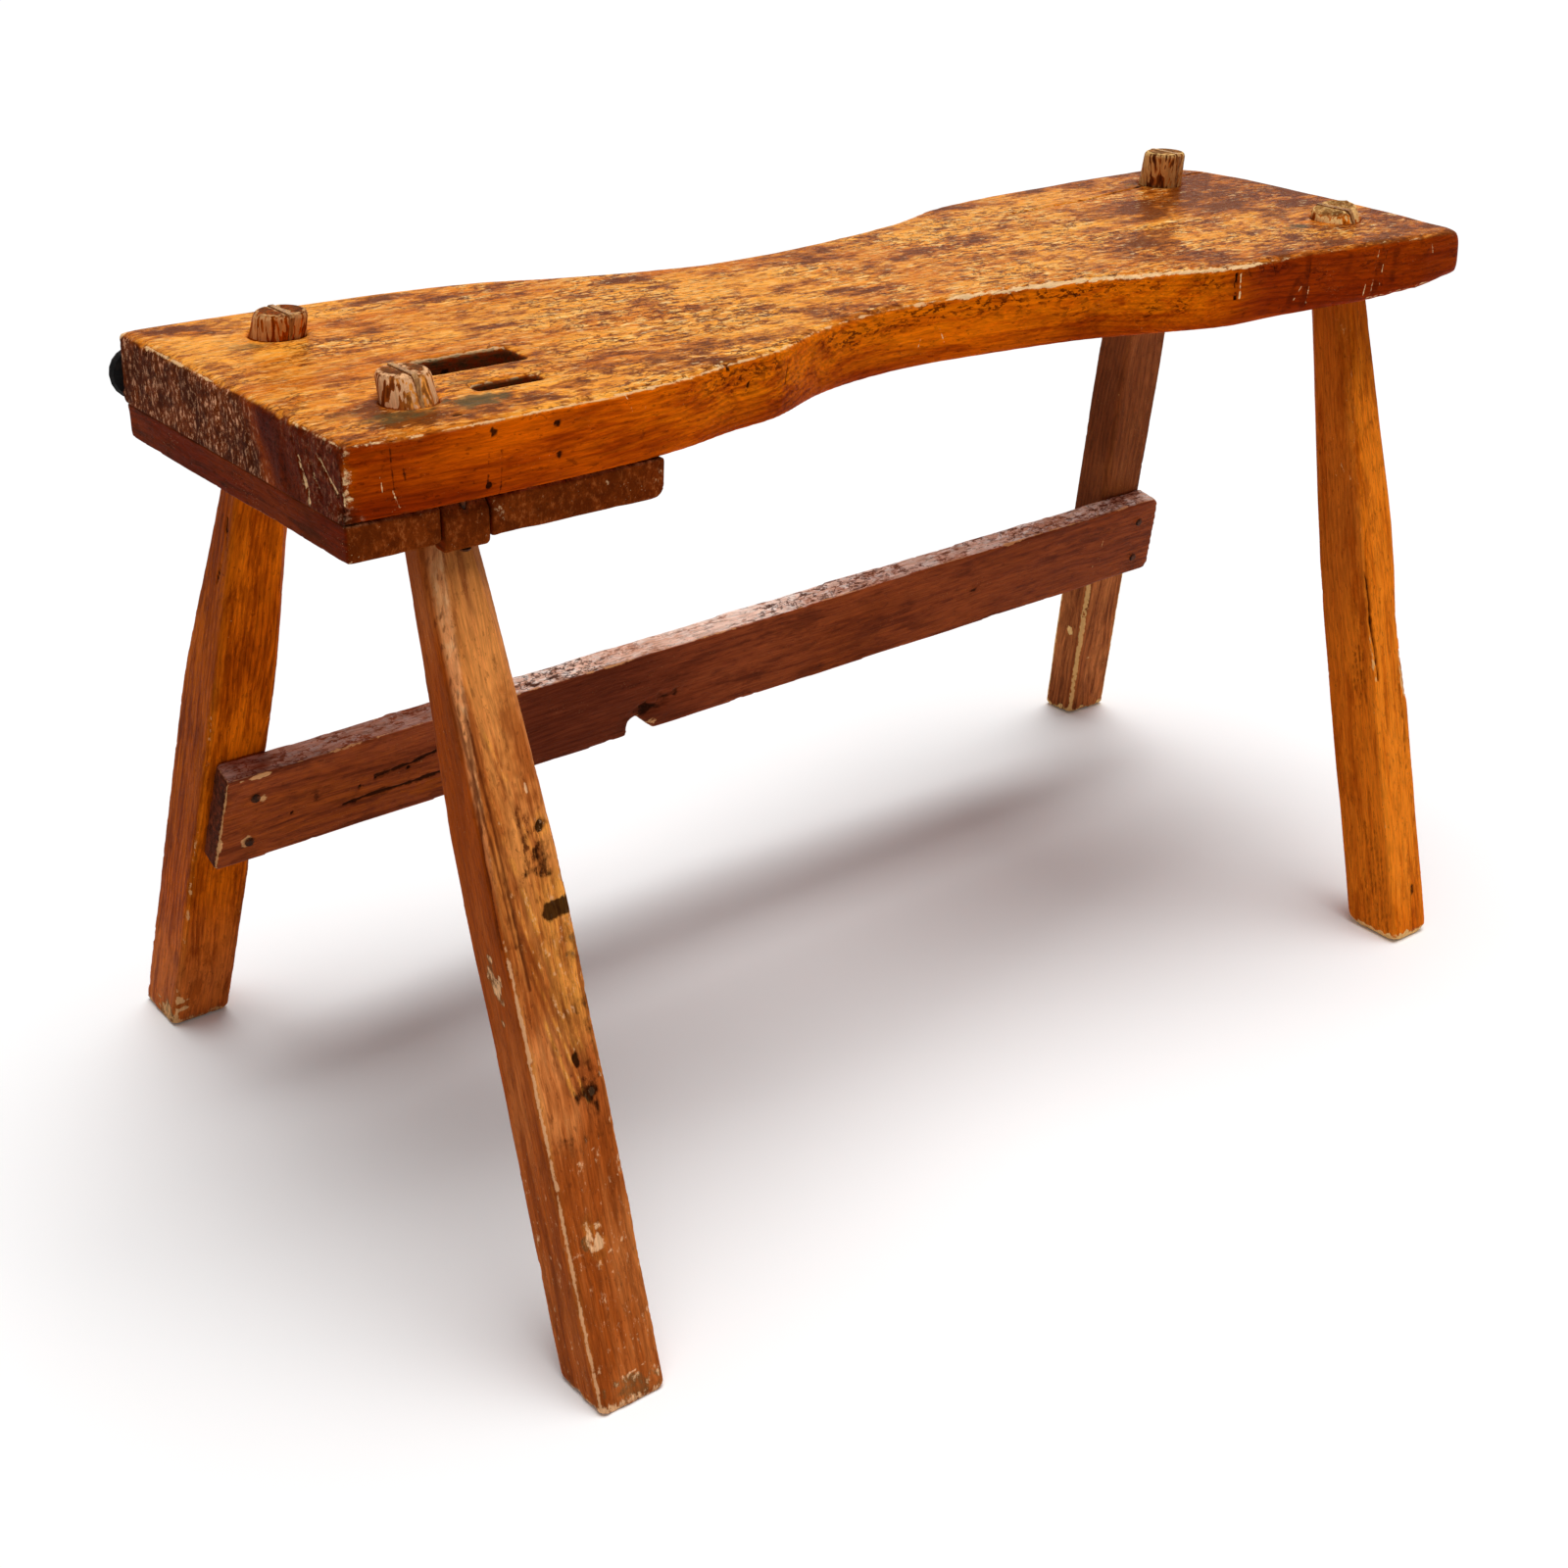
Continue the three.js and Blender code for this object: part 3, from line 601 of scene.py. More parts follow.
def make_floor():
    mesh = bpy.data.meshes.new("floor")
    reach = FLOOR_REACH
    corners = [(-reach, -reach, 0), (reach, -reach, 0), (reach, reach, 0), (-reach, reach, 0)]
    mesh.from_pydata(corners, [], [(0, 1, 2, 3)])
    floor = add_object("floor", mesh)
    graph = Graph(bpy.data.materials.new("floor_paper"))
    diffuse = graph.add("BsdfDiffuse", {"Color": (FLOOR_GREY, FLOOR_GREY, FLOOR_GREY, 1)})
    light = graph.add("Emission", {"Strength": background_rays(graph) * FLOOR_GLOW})
    both = graph.add("AddShader", {0: diffuse, 1: light})
    graph.add("OutputMaterial", {"Surface": both})
    mesh.materials.append(graph.owner)


def make_world():
    world = bpy.data.worlds.new("studio")
    graph = Graph(world)
    strength = background_rays(graph).ramp(0.0, 1.0, SKY_STRENGTH, 1.0)
    background = graph.add("Background", {"Color": (1, 1, 1, 1), "Strength": strength})
    graph.add("OutputWorld", {"Surface": background})
    bpy.context.scene.world = world


# Seat

SEAT_LOOK = palette(
    light=(236, 102, 0), middle=(196, 72, 0), dark=(120, 32, 0), line=(66, 12, 0),
    deep=(142, 42, 0), glow=(244, 122, 4), pale=(252, 206, 150),
    top=palette(
        # The palest top colours paint highlights and glints of light
        light=(250, 164, 58), middle=(210, 112, 22), polished=(255, 200, 112), dirty=(168, 84, 22),
        dark=(90, 40, 12), ticks=(100, 40, 6), glint=(255, 214, 156),
    ),
    end=palette(light=(240, 178, 136), middle=(108, 50, 20), dark=(44, 16, 4)),
)
# Darker blotches on the top: place, half sizes and strength
TOP_BLOTCHES = (
    (28, 325, 32, 16, 0.9), (269, 299, 55, 14, 0.8), (355, 244, 48, 16, 0.6),
    (403, 268, 60, 14, 0.8), (329, 97, 34, 10, 0.8), (405, 156, 46, 13, 0.8),
    (440, 131, 40, 11, 0.7), (500, 178, 52, 15, 0.7), (522, 142, 30, 9, 1.0),
    (589, 154, 46, 15, 0.6), (495, 94, 36, 9, 0.7), (661, 202, 50, 18, 0.7),
    (822, 334, 95, 26, 0.9), (755, 228, 70, 24, 0.6), (925, 240, 110, 34, 0.6),
    (1025, 177, 90, 32, 0.6), (1112, 203, 60, 60, 0.7), (800, 149, 70, 20, 0.5),
    (1090, 54, 50, 20, 0.6), (1053, 140, 50, 36, 0.5), (60, 60, 60, 34, 0.8),
    (40, 190, 40, 20, 0.6), (120, 240, 70, 12, 0.5), (130, 130, 60, 9, 0.5),
    (240, 200, 60, 12, 0.6), (250, 60, 70, 16, 0.6), (300, 30, 60, 10, 0.6),
    (200, 320, 50, 10, 0.8), (105, 26, 96, 26, 1.0),
)
TOP_GRIME = (
    (122, 40, 34, 20, 0.9), (60, 36, 54, 18, 0.6), (55, 250, 26, 13, 0.55),
    (136, 80, 22, 7, 0.6), (30, 60, 26, 18, 0.45), (1030, 92, 24, 14, 0.7),
    (1045, 318, 30, 14, 0.5),
)
TOP_CRACKS = (
    ((838, 281), (864, 284), (905, 287), (955, 291), (1010, 302), (1054, 307)),
    ((1096, 318), (1125, 321), (1161, 324)),
)
FRONT_PITS = ((109, 668), (159, 665), (160, 643), (317, 672), (338, 655), (104, 632))
# Paths with only two points are given as four numbers
FRONT_DARK_CUTS = (
    (34, 670, 35, 642), (42, 667, 43, 647), (105, 654, 102, 628),
    (115, 656, 112, 622), (384, 669, 379, 648), (356, 667, 354, 655),
    (954, 668, 953, 630), (1050, 672, 1048, 636), (760, 672, 769, 662),
    (700, 673, 708, 662), (640, 674, 648, 664), (560, 672, 566, 664),
    (820, 670, 823, 660), (873, 672, 878, 664), (906, 673, 910, 662),
)
FRONT_PALE_CUTS = (
    (26, 652, 28, 630), ((34, 641), (38, 629), (45, 633)), (233, 672, 232, 655),
    (956, 654, 954, 632), (947, 650, 932, 629), (1040, 674, 1035, 630),
    (1030, 653, 1026, 630), (1047, 656, 1045, 636), (1106, 671, 1110, 660),
    (549, 640, 553, 652), (571, 652, 576, 640), (216, 674, 222, 660),
)
FRONT_GOUGE = ((860, 668), (861, 648))
FRONT_SHADES = (
    (952, 672, 949, 632), (938, 652, 928, 630), (1046, 676, 1041, 634),
    (1062, 668, 1059, 640), (1092, 672, 1100, 660), (1004, 668, 1002, 656),
)
FRONT_FLECKS = (
    (330, 664, 70, 14, 0.8), (480, 662, 90, 13, 0.8), (620, 665, 90, 12, 0.85),
    (711, 648, 40, 16, 0.55), (768, 666, 30, 9, 0.8), (779, 646, 14, 10, 0.9),
    (806, 647, 12, 10, 0.9), (830, 664, 30, 10, 0.8), (560, 665, 70, 12, 0.85),
    (700, 666, 80, 11, 0.85), (400, 640, 60, 20, 0.5), (900, 668, 50, 8, 0.7),
    (960, 655, 26, 16, 0.6), (1030, 660, 30, 14, 0.6),
)
END_GOUGES = (
    ((69, 667), (62, 652), (50, 626)), (64, 650, 57, 634), ((36, 661), (22, 650), (9, 642)),
    (48, 655, 34, 634),
)
# Both slots, seen from above: their insides, their rims and what is kept still round them
SLOT_INSIDES = ((116, 48), (218, 157))
SLOT_RIMS = ((108, 44), (222, 161))
SLOT_SURROUND = ((112, 44), (220, 161))
THIN_SLOT_BACK = 85
CLEATS_END = 250
LEFT_END_SKEW = SEAT_LOW.x


def inside(points, corners):
    """Whether points lie in a rectangle, seen from above."""
    low, high = corners
    return np.all((points[:, :2] > low) & (points[:, :2] < high), axis=1)


def tenon_distance(points):
    """How far each point lies from the nearest tenon's middle, seen from above."""
    nearest = np.full(len(points), np.inf)
    for name in LEG_LOOKS:
        low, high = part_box(name.replace("leg", "wedge"))
        middle = ((low + high) / 2 - BENCH_CORNER) / MM
        nearest = np.minimum(nearest, np.hypot(points[:, 0] - middle.x, points[:, 1] - middle.y))
    return nearest


def make_seat():
    seat = Surface("seat_plank", SEAT_CELL)
    x = seat.points[:, 0]
    seat.hold(rise(26, 36, tenon_distance(seat.points)))
    over_cleats = x < CLEATS_END
    underside = rise(0.75 - 0.45 * over_cleats, 0.95 - 0.15 * over_cleats, -seat.normals[:, 2])
    seat.hold(1 - underside * fall(SEAT_HIGH.x - 80, SEAT_HIGH.x - 50, x))
    seat.hold(1 - 0.9 * inside(seat.points, SLOT_SURROUND))
    shape_right_end(seat)
    rounding = 0.4 + 0.45 * rise(200, 420, x)
    seat.wear_edges(rounding, 10, 11, worn=0.6, chips=1.0)
    seat.push(0.4 + 0.5 * seat.fractal((170, 60, 60), 3))
    wear_slots(seat)
    shape_left_end(seat)
    mark_zones(seat)
    top, front, end = seat_faces(seat)
    zones = [top.near(path, 5) for path in TOP_CRACKS]
    zones += [end.near(path, 5) for path in END_GOUGES]
    zones += [front.near(path, 5) for path in FRONT_DARK_CUTS + FRONT_PALE_CUTS + (FRONT_GOUGE,)]
    seat.refine(zones, cuts=2)
    top, front, end = seat_faces(seat)
    mark_top(top)
    mark_front(front)
    for path in END_GOUGES:
        end.stroke(path, 8, worn=0.46)
        end.stroke(path, 3.0, depth=1.2, bare=0.62)
    look = make_wood("seat_wood_look", (1, 0, 0), 1, flecks=0.4, streaks=0.3, rings=0.38, patina=0.3,
                     rough=0.28, scratches=0.3, pith=(0.05, 0.28), specular=0.005, **SEAT_LOOK)
    seat.finish("seat_plank_worn", "seat_wood", look)


def seat_faces(seat):
    """The seat's top, front and left end, each to be drawn on."""
    return Face(seat, (0, 1), UP), Face(seat, (0, 2), FRONT), Face(seat, (1, 2), LEFT)


def mark_top(top):
    top.blobs("deep", TOP_BLOTCHES, soft=0.8)
    top.blobs("grime", TOP_GRIME, soft=0.8)
    top.strokes(TOP_CRACKS, 3.2, depth=2.5, stain=1.0, solid=True)
    top.blob((95, 19), (4, 2.5), depth=1.0, stain=1.0)


def mark_front(front):
    for place in FRONT_PITS:
        front.blob(place, (3, 3.5), depth=1.5, stain=1.0)
    front.strokes(FRONT_DARK_CUTS, 1.6, depth=0.5, stain=0.62)
    front.strokes(FRONT_SHADES, 9, seam=0.55)
    front.strokes(FRONT_PALE_CUTS, 1.1, depth=0.3, bare=0.6)
    front.stroke(FRONT_GOUGE, 4, depth=2.5, stain=1.0)
    # A pale line on the gouge's lip, a painted highlight
    front.stroke([(x + 4, z) for x, z in FRONT_GOUGE], 2, bare=1.0)
    front.blobs("fleck", FRONT_FLECKS, soft=0.9)


def mark_zones(seat):
    """The broad differences in tone between the seat's faces and along them, with painted shade at the
    right end.
    """
    x, y, z = seat.points.T
    up = seat.facing(UP, 0.35, 0.85)
    front = seat.facing(FRONT, 0.3, 0.8)
    end = rise(0.5, 0.9, np.abs(seat.normals[:, 0])) * ((x < 20) | (x > SEAT_HIGH.x - 60))
    below = seat.facing(DOWN, 0.3, 0.8)
    drift = 0.25 * seat.fractal((120, 60, 40), 17)
    right = rise(800, 930, x)
    low = fall(SEAT_LOW.z, SEAT_LOW.z + 26, z)
    seat.add(top=up, end=end)
    seat.add(deep=front * np.clip(0.7 * fall(20, 220, x) + 0.9 * right + 0.6 * low + drift, 0, 1))
    glow = np.clip(0.9 * rise(150, 320, x) * (1 - right) + drift, 0, 1) * (1 - 0.7 * low)
    seat.add(glow=front * glow)
    seat.add(deep=up * np.clip(0.15 + 0.6 * rise(780, 1060, x) + 1.6 * drift, 0, 1))
    seat.add(glow=up * np.clip(fall(150, 400, x) + 2 * drift, 0, 1))
    # The faces that look down are made darker
    seat.add(stain=0.4 * below, grime=0.3 * below)
    # Painted shade: the right end darkens where its faces turn away from the light
    seat.add(stain=0.6 * rise(SEAT_HIGH.x - 30, SEAT_HIGH.x - 4, x) * (1 - up))
    seat.add(seam=0.2 * front * rise(1030, 1110, x))
    slanted = y - 0.5 * (z - 650) + 6 * seat.fractal((20, 14, 30), 19)
    corner = end * fall(96, 136, slanted) * (x < 20)
    smooth_end = corner * rise(56, 86, slanted)
    seat.fields["end"] *= (1 - 0.85 * smooth_end) * (1 - 0.5 * corner)
    seat.add(deep=corner, seam=0.5 * smooth_end + 0.4 * corner, stain=0.46 * corner)


def wear_slots(seat):
    """Roughens and darkens the inside of the two slots, wears their rims and bares the splinters in the
    thin one.
    """
    x, y, _ = seat.points.T
    walls = inside(seat.points, SLOT_INSIDES) & (np.abs(seat.normals[:, 2]) < 0.75)
    around = inside(seat.points, SLOT_RIMS)
    seat.push(walls * (0.8 + 1.2 * seat.fractal((9, 9, 16), 23)))
    seat.add(grime=0.5 * walls, deep=walls, stain=0.42 * walls)
    seat.add(worn=0.3 * around * rise(0.3, 0.7, seat.sharpness(5)))
    splintered = walls & (y < THIN_SLOT_BACK) & (x < 165)
    seat.add(bare=0.75 * splintered * rise(0.3, 0.6, seat.fractal((9, 9, 7), 25)))
    seat.update_normals()


def shape_right_end(seat):
    """The right end: its front corner leans out a little below, and its arrises are round."""
    x, y, z = seat.points.T
    corner = rise(SEAT_HIGH.x - 80, SEAT_HIGH.x - 30, x) * fall(0, 160, y)
    below = 1 - (z - SEAT_LOW.z) / (SEAT_HIGH.z - SEAT_LOW.z)
    seat.points[:, 0] += corner * (4 + 6 * below)
    seat.points = np.clip(seat.points, seat.low, seat.high)
    end = rise(SEAT_HIGH.x - 70, SEAT_HIGH.x - 30, x)
    seat.soften(end * rise(0.2, 0.7, seat.sharpness(20)), 20)
    seat.update_normals()


def shape_left_end(seat):
    """The left end: coarse end grain, nibbled arrises and a chipped lower front corner."""
    x, y, z = seat.points.T
    end = seat.facing(LEFT, 0.4) * (x < 12)
    lower = (x < 9) & (z < SEAT_LOW.z + 9)
    seat.points[lower, 0] = LEFT_END_SKEW * y[lower] / SEAT_HIGH.y
    bands = seat.fractal((40, 9, 30), 31)
    seat.push(end * (0.4 + 0.6 * bands))
    arris = rise(0.3, 0.7, seat.sharpness(6)) * (x < 12)
    nibbles = rise(0.1, 0.6, seat.fractal((12, 9, 12), 33))
    seat.push(arris * 1.4 * nibbles)
    seat.add(stain=0.55 * arris * nibbles * (z > SEAT_HIGH.z - 8))
    chip = np.linalg.norm((seat.points - (0, -2, SEAT_LOW.z + 2)) / (16, 26, 13), axis=1)
    chipped = fall(0.35, 1.0, chip + 0.2 * seat.noise(7, 35))
    seat.push(4 * chipped)
    seat.add(stain=0.6 * chipped, end=chipped)
    upright = fall(2, 7, np.hypot(x - 2, y) + 3 * seat.fractal(9, 39))
    seat.add(bare=0.5 * upright * (z > SEAT_LOW.z + 10), glow=upright)
    front_edge = np.hypot(y, z - SEAT_HIGH.z) + 3 * seat.fractal((16, 6, 6), 38)
    seat.add(bare=0.46 * fall(2, 6, front_edge) * fall(50, 100, x))
    wear_and_highlight_front_arris(seat, x, z)
    seat.update_normals()


def wear_and_highlight_front_arris(seat, x, z):
    """The pale line along the front of the top, brightest at the waist: edge wear with a painted
    highlight of light on the arris.
    """
    line = seat.front_arris(0.2) * (z > SEAT_HIGH.z - 12)
    seat.add(worn=0.6 * line * rise(380, 440, x) * fall(900, 1000, x))
    seat.add(worn=0.72 * line * rise(40, 90, x) * fall(400, 460, x))
    # The brightest stretch, at the waist, is a painted highlight
    wider = seat.front_arris(0.3) * (z > SEAT_HIGH.z - 12)
    polished = rise(540, 600, x) * fall(860, 940, x) * wider
    seat.add(bare=polished * np.clip(0.82 + 0.12 * seat.fractal((40, 9, 9), 37), 0, 1))


# Legs

LEG_LOOKS = {
    "leg_front_left": palette(
        light=(236, 146, 78), middle=(190, 98, 42), dark=(140, 66, 24), line=(92, 36, 12),
        deep=(164, 70, 10), glow=(255, 166, 70), pale=(248, 190, 138),
        # The top colours paint a pale sheen of light on the bevel
        top=palette(
            light=(255, 184, 120), middle=(250, 164, 100), polished=(255, 198, 142),
            dirty=(246, 160, 98), dark=(234, 146, 88), ticks=(236, 150, 90), glint=(255, 208, 156),
        ),
    ),
    "leg_back_left": palette(
        light=(222, 106, 8), middle=(192, 82, 4), dark=(132, 50, 0), line=(66, 20, 0),
        deep=(176, 100, 58), glow=(216, 114, 22), pale=(226, 170, 112),
    ),
    "leg_back_right": palette(
        light=(208, 122, 66), middle=(176, 94, 48), dark=(120, 62, 32), line=(60, 28, 14),
        deep=(110, 54, 26), glow=(244, 160, 74), pale=(252, 204, 130),
        end=palette(light=(246, 184, 116), middle=(184, 116, 62), dark=(104, 58, 28)),
    ),
    "leg_front_right": palette(
        light=(252, 132, 24), middle=(226, 106, 12), dark=(166, 68, 4), line=(92, 32, 0),
        deep=(190, 98, 28), glow=(255, 140, 34), pale=(252, 200, 128),
        end=palette(light=(246, 206, 138), middle=(200, 144, 80), dark=(104, 60, 24)),
    ),
}
AXIS_STATIONS = 14


class Leg(Surface):
    """A leg, with its places also told from its own axis: u along the bench, v across it."""

    def __init__(self, node):
        super().__init__(node, LEG_CELL)
        self.stations = np.linspace(self.low.z + 8, SEAT_LOW.z - 40, AXIS_STATIONS)
        slices = [self.points[np.abs(self.points[:, 2] - z) < 6] for z in self.stations]
        self.middles = np.array([(part.max(0) + part.min(0)) / 2 for part in slices])
        self.update_local()

    def update_local(self):
        z = self.points[:, 2]
        u = self.points[:, 0] - np.interp(z, self.stations, self.middles[:, 0])
        v = self.points[:, 1] - np.interp(z, self.stations, self.middles[:, 1])
        self.local = np.stack((u, v, z), axis=1)

    def sides(self):
        """The front face in (u, z) and the left face in (v, z)."""
        self.update_local()
        return Face(self, (0, 2), FRONT, self.local), Face(self, (1, 2), LEFT, self.local)

    def finish_wood(self, seed, **settings):
        along = self.middles[-1] - self.middles[0]
        look = make_wood(self.node + "_look", along, seed, flecks=0.35, rough=0.34, specular=0.005,
                         **LEG_LOOKS[self.node], **settings)
        self.finish(self.node + "_hewn", "leg_wood", look)


def start_leg(node, seed):
    leg = Leg(node)
    z = leg.points[:, 2]
    in_seat = rise(SEAT_LOW.z - 40, SEAT_LOW.z - 32, z)
    leg.hold(1 - in_seat * (1 - 0.15 * (z > SEAT_HIGH.z)))
    leg.wear_edges(0.6, 7, seed, worn=0.6, chips=0.8, lump=34)
    leg.push(0.25 + 0.45 * leg.fractal((34, 34, 120), seed + 3))
    # Painted shade under the seat: the leg darkens towards the seat's underside
    shade_under_seat = rise(SEAT_LOW.z - 110, SEAT_LOW.z - 20, z) * (z < SEAT_HIGH.z - 1)
    above = z > SEAT_HIGH.z - 1
    facing_up = leg.facing(UP)
    leg.add(seam=0.6 * shade_under_seat, end=above * facing_up)
    leg.add(bare=0.55 * above * rise(0.2, 0.7, leg.sharpness(4)))
    leg.add(glow=above, grime=0.45 * above * facing_up)
    foot = fall(2, 14, z - leg.low.z + 5 * leg.fractal((12, 12, 20), seed + 5))
    leg.add(bare=0.55 * foot, grime=0.5 * foot)
    leg.push(0.8 * foot * rise(0.0, 0.6, leg.fractal(9, seed + 6)))
    # Painted highlight: the outer edges below the seat take the lighter glow colour
    leg.add(glow=0.75 * rise(0.35, 0.8, leg.sharpness(5)) * (z < SEAT_LOW.z - 30))
    leg.update_normals()
    leg.refine([z > SEAT_HIGH.z - 4], cuts=2)
    streak_tenon(leg, seed)
    leg.update_local()
    return leg


def streak_tenon(leg, seed):
    """Draws the pale and dark fibres down the sides of the tenon above the seat."""
    around = (leg.points[:, 2] > SEAT_HIGH.z - 1) * (1 - leg.facing(UP))
    fine = leg.noise((1.5, 1.5, 50), seed + 9) + 0.6 * leg.noise((5, 5, 30), seed + 10)
    leg.add(bare=0.85 * around * rise(-0.2, 0.15, fine))
    leg.fields["bare"] *= 1 - around * rise(-0.15, -0.4, fine)
    leg.add(seam=0.8 * around * rise(-0.3, -0.6, fine))


FRONT_LEFT_FIGURE = (
    ((-22, 455), (-14, 400), (-6, 350), (4, 300), (10, 262)),
    ((-20, 420), (-10, 365), (-2, 318), (8, 268), (14, 240)),
    ((-20, 380), (-12, 330), (-2, 285), (6, 246)), ((-18, 330), (-8, 285), (2, 240), (8, 214)),
    ((-12, 470), (-2, 430), (4, 390)), ((-4, 300), (6, 262), (12, 238)),
    ((-16, 290), (-8, 250), (-2, 222)),
)
FRONT_LEFT_GROOVES = (
    ((-25, 512), (-24, 470), (-23, 420), (-21, 376), (-20, 330)),
    ((-19, 480), (-18, 430), (-17, 385), (-16, 300)),
)
# Stains on the front face with ragged rims: place, half sizes and strength
FRONT_LEFT_STAINS = (
    (12, 378, 12, 14, 0.62), (4, 390, 13, 28, 0.42),
)
FRONT_LEFT_SOFT_STAINS = (
    (17, 390, 14, 22, 0.5), (-12, 190, 18, 12, 0.42), (12, 195, 16, 16, 0.46),
)
FRONT_LEFT_BROKEN_STAINS = ((24, 320, 8, 24, 0.5), (22, 262, 9, 30, 0.5))
BEVEL_LOW = 330


def make_front_left_leg():
    leg = start_leg("leg_front_left", 20)
    u, v, z = leg.local.T
    low = fall(150, 260, z + 60 * leg.noise((20, 20, 60), 61))
    golden = rise(240, 290, z) * fall(360, 385, z) * rise(-8, 12, u) * (v < 0)
    facing = leg.facing(FRONT)
    # The lower part takes the deeper colour, and so does the left face, there partly as painted shade
    leg.add(deep=np.maximum(0.7 * low, leg.facing(LEFT, 0.4) * (1 - 0.5 * low)), glow=0.95 * golden)
    leg.add(glow=0.3 * facing * rise(260, 330, z), fleck=0.25 * golden)
    # The front-left arris below the bevel: a pale line, edge wear with a painted highlight
    leg.add(worn=0.7 * leg.facing(FRONT_LEFT, 0.86, 0.97) * fall(300, 380, z))
    leg.add(bare=0.3 * low, worn=0.36 * golden)
    clouds = rise(0.0, 0.7, leg.fractal((24, 24, 70), 65))
    leg.add(deep=0.6 * facing * clouds * (1 - golden))
    front, left = leg.sides()
    zones = [front.near(path, 6) for path in FRONT_LEFT_GROOVES + FRONT_LEFT_FIGURE]
    zones += [front.near((17, 401, 17, 404), 12), front.near((14, 220, 14, 222), 14)]
    zones += [front.near((-6, 105, -6, 140), 14), left.near((-24, 500, -22, 330), 9)]
    zones.append((leg.normals @ FRONT_LEFT > 0.84) & (z > BEVEL_LOW))
    leg.refine(zones)
    mark_front_left_leg(*leg.sides())
    mark_bevel(leg)
    leg.finish_wood(4, rings=0.3, ring_spacing=0.008, pith=(0.03, 0.03), streaks=0.5, scratches=0.4)


def mark_bevel(leg):
    """The bevel between the two seen faces: a pale painted sheen on its right half, fine dark hairs
    along it, and on its left half the deeper colour, with painted shade from the seat at its top.
    """
    u, v, z = leg.local.T
    bevel = leg.facing(FRONT_LEFT, 0.84, 0.95) * rise(BEVEL_LOW, 480, z)
    right_half = rise(-9, 1, u - v)
    left_half = bevel * (1 - right_half)
    hairs = rise(-0.25, -0.6, leg.noise((1.9, 1.9, 140), 63))
    # The right half takes the pale top look, a painted sheen
    leg.add(top=bevel * right_half, seam=0.75 * bevel * hairs)
    # The left half takes the deeper colour and, towards the seat, painted shade
    leg.add(deep=left_half, seam=0.3 * left_half * rise(480, 590, z))


def mark_front_left_leg(front, left):
    # Dark figure lines, each with a paler line beside it that is a painted highlight
    for path in FRONT_LEFT_FIGURE:
        front.stroke(path, 2.6, seam=0.42, depth=0.4, solid=True)
        front.stroke([(u + 3, z) for u, z in path], 2.4, worn=0.42, glow=0.9)
    front.strokes(FRONT_LEFT_GROOVES, 1.8, depth=1.0, seam=0.9, solid=True)
    left.stroke(((-24, 505), (-23, 430), (-22, 330)), 2.0, depth=1.2, seam=0.9, solid=True)
    front.blob((16, 455), (16, 55), deep=0.9, soft=0.9)
    front.blob((17, 402), (10, 12), glow=0.8, bare=0.35)
    front.blob((17, 402), (3.5, 4.5), depth=2.0, stain=1.0)
    front.blobs("stain", FRONT_LEFT_SOFT_STAINS, ragged=0.8, soft=0.9)
    front.blobs("stain", FRONT_LEFT_STAINS, ragged=0.9, soft=0.9)
    front.blobs("stain", FRONT_LEFT_BROKEN_STAINS, ragged=1.0, soft=0.8)
    front.blob((4, 390), (13, 28), fleck=0.8, ragged=0.9, soft=0.9)
    for u in (10, 14, 18, 22, 26):
        front.blob((u, 346), (5.5, 8.5), stain=1.0, ragged=0.3, soft=0.55)
    front.blob((14, 221), (14, 16), stain=0.72, fleck=0.9, ragged=0.7, depth=0.8, soft=0.9)
    front.blob((14, 221), (8, 9), stain=0.8, ragged=0.5, soft=0.8)
    front.blob((15, 220), (3, 4), worn=0.7)
    front.blob((8, 244), (4, 7), stain=0.9, depth=1.0)
    front.blob((-6, 124), (8, 18), glow=1.0, bare=0.52, depth=0.8, ragged=0.6, soft=0.6)
    front.blob((-3, 122), (3, 9), bare=0.7, ragged=0.6)
    front.blob((-14, 122), (4, 8), stain=0.42, grime=0.6)
    for z in range(40, 190, 17):
        u = 9 * sin(z)
        front.stroke(((-10 + u, z), (8 + u, z + 7)), 1.3, bare=0.44)
    front.blob((13, 428), (2, 5), bare=0.9)
    front.blob((0, 12), (26, 10), bare=0.4, grime=0.6, ragged=1.2)
    front.stroke(((-22, 30), (-4, 22), (20, 26)), 1.6, bare=0.6)
    left.blob((0, 296), (8, 22), bare=0.55, grime=0.7, ragged=1.0)
    for z in range(60, 560, 23):
        front.blob((28, z + 9 * sin(z)), (4, 4), depth=1.2, worn=0.6, ragged=0.6)


def make_back_left_leg():
    leg = start_leg("leg_back_left", 24)
    z = leg.local[:, 2]
    leg.add(deep=0.6 * fall(30, 170, z))
    # The left face darkens between 120 and 240 mm up and stays dark above, partly painted shade
    leg.add(seam=0.36 * leg.facing(LEFT, 0.4) * rise(120, 240, z))
    front, left = leg.sides()
    left.stroke(((-6, 530), (-10, 505), (-4, 470)), 3.5, stain=0.8, depth=0.8)
    left.stroke((-14, 480, -12, 440), 2.5, stain=0.6)
    front.blob((-26, 14), (10, 22), bare=0.8, ragged=0.8)
    left.blob((-20, 12), (24, 14), bare=0.55, grime=0.8, ragged=0.9)
    leg.finish_wood(5, rings=0.5, ring_spacing=0.0035, pith=(0.02, 0.2), streaks=0.6, scratches=0.35)


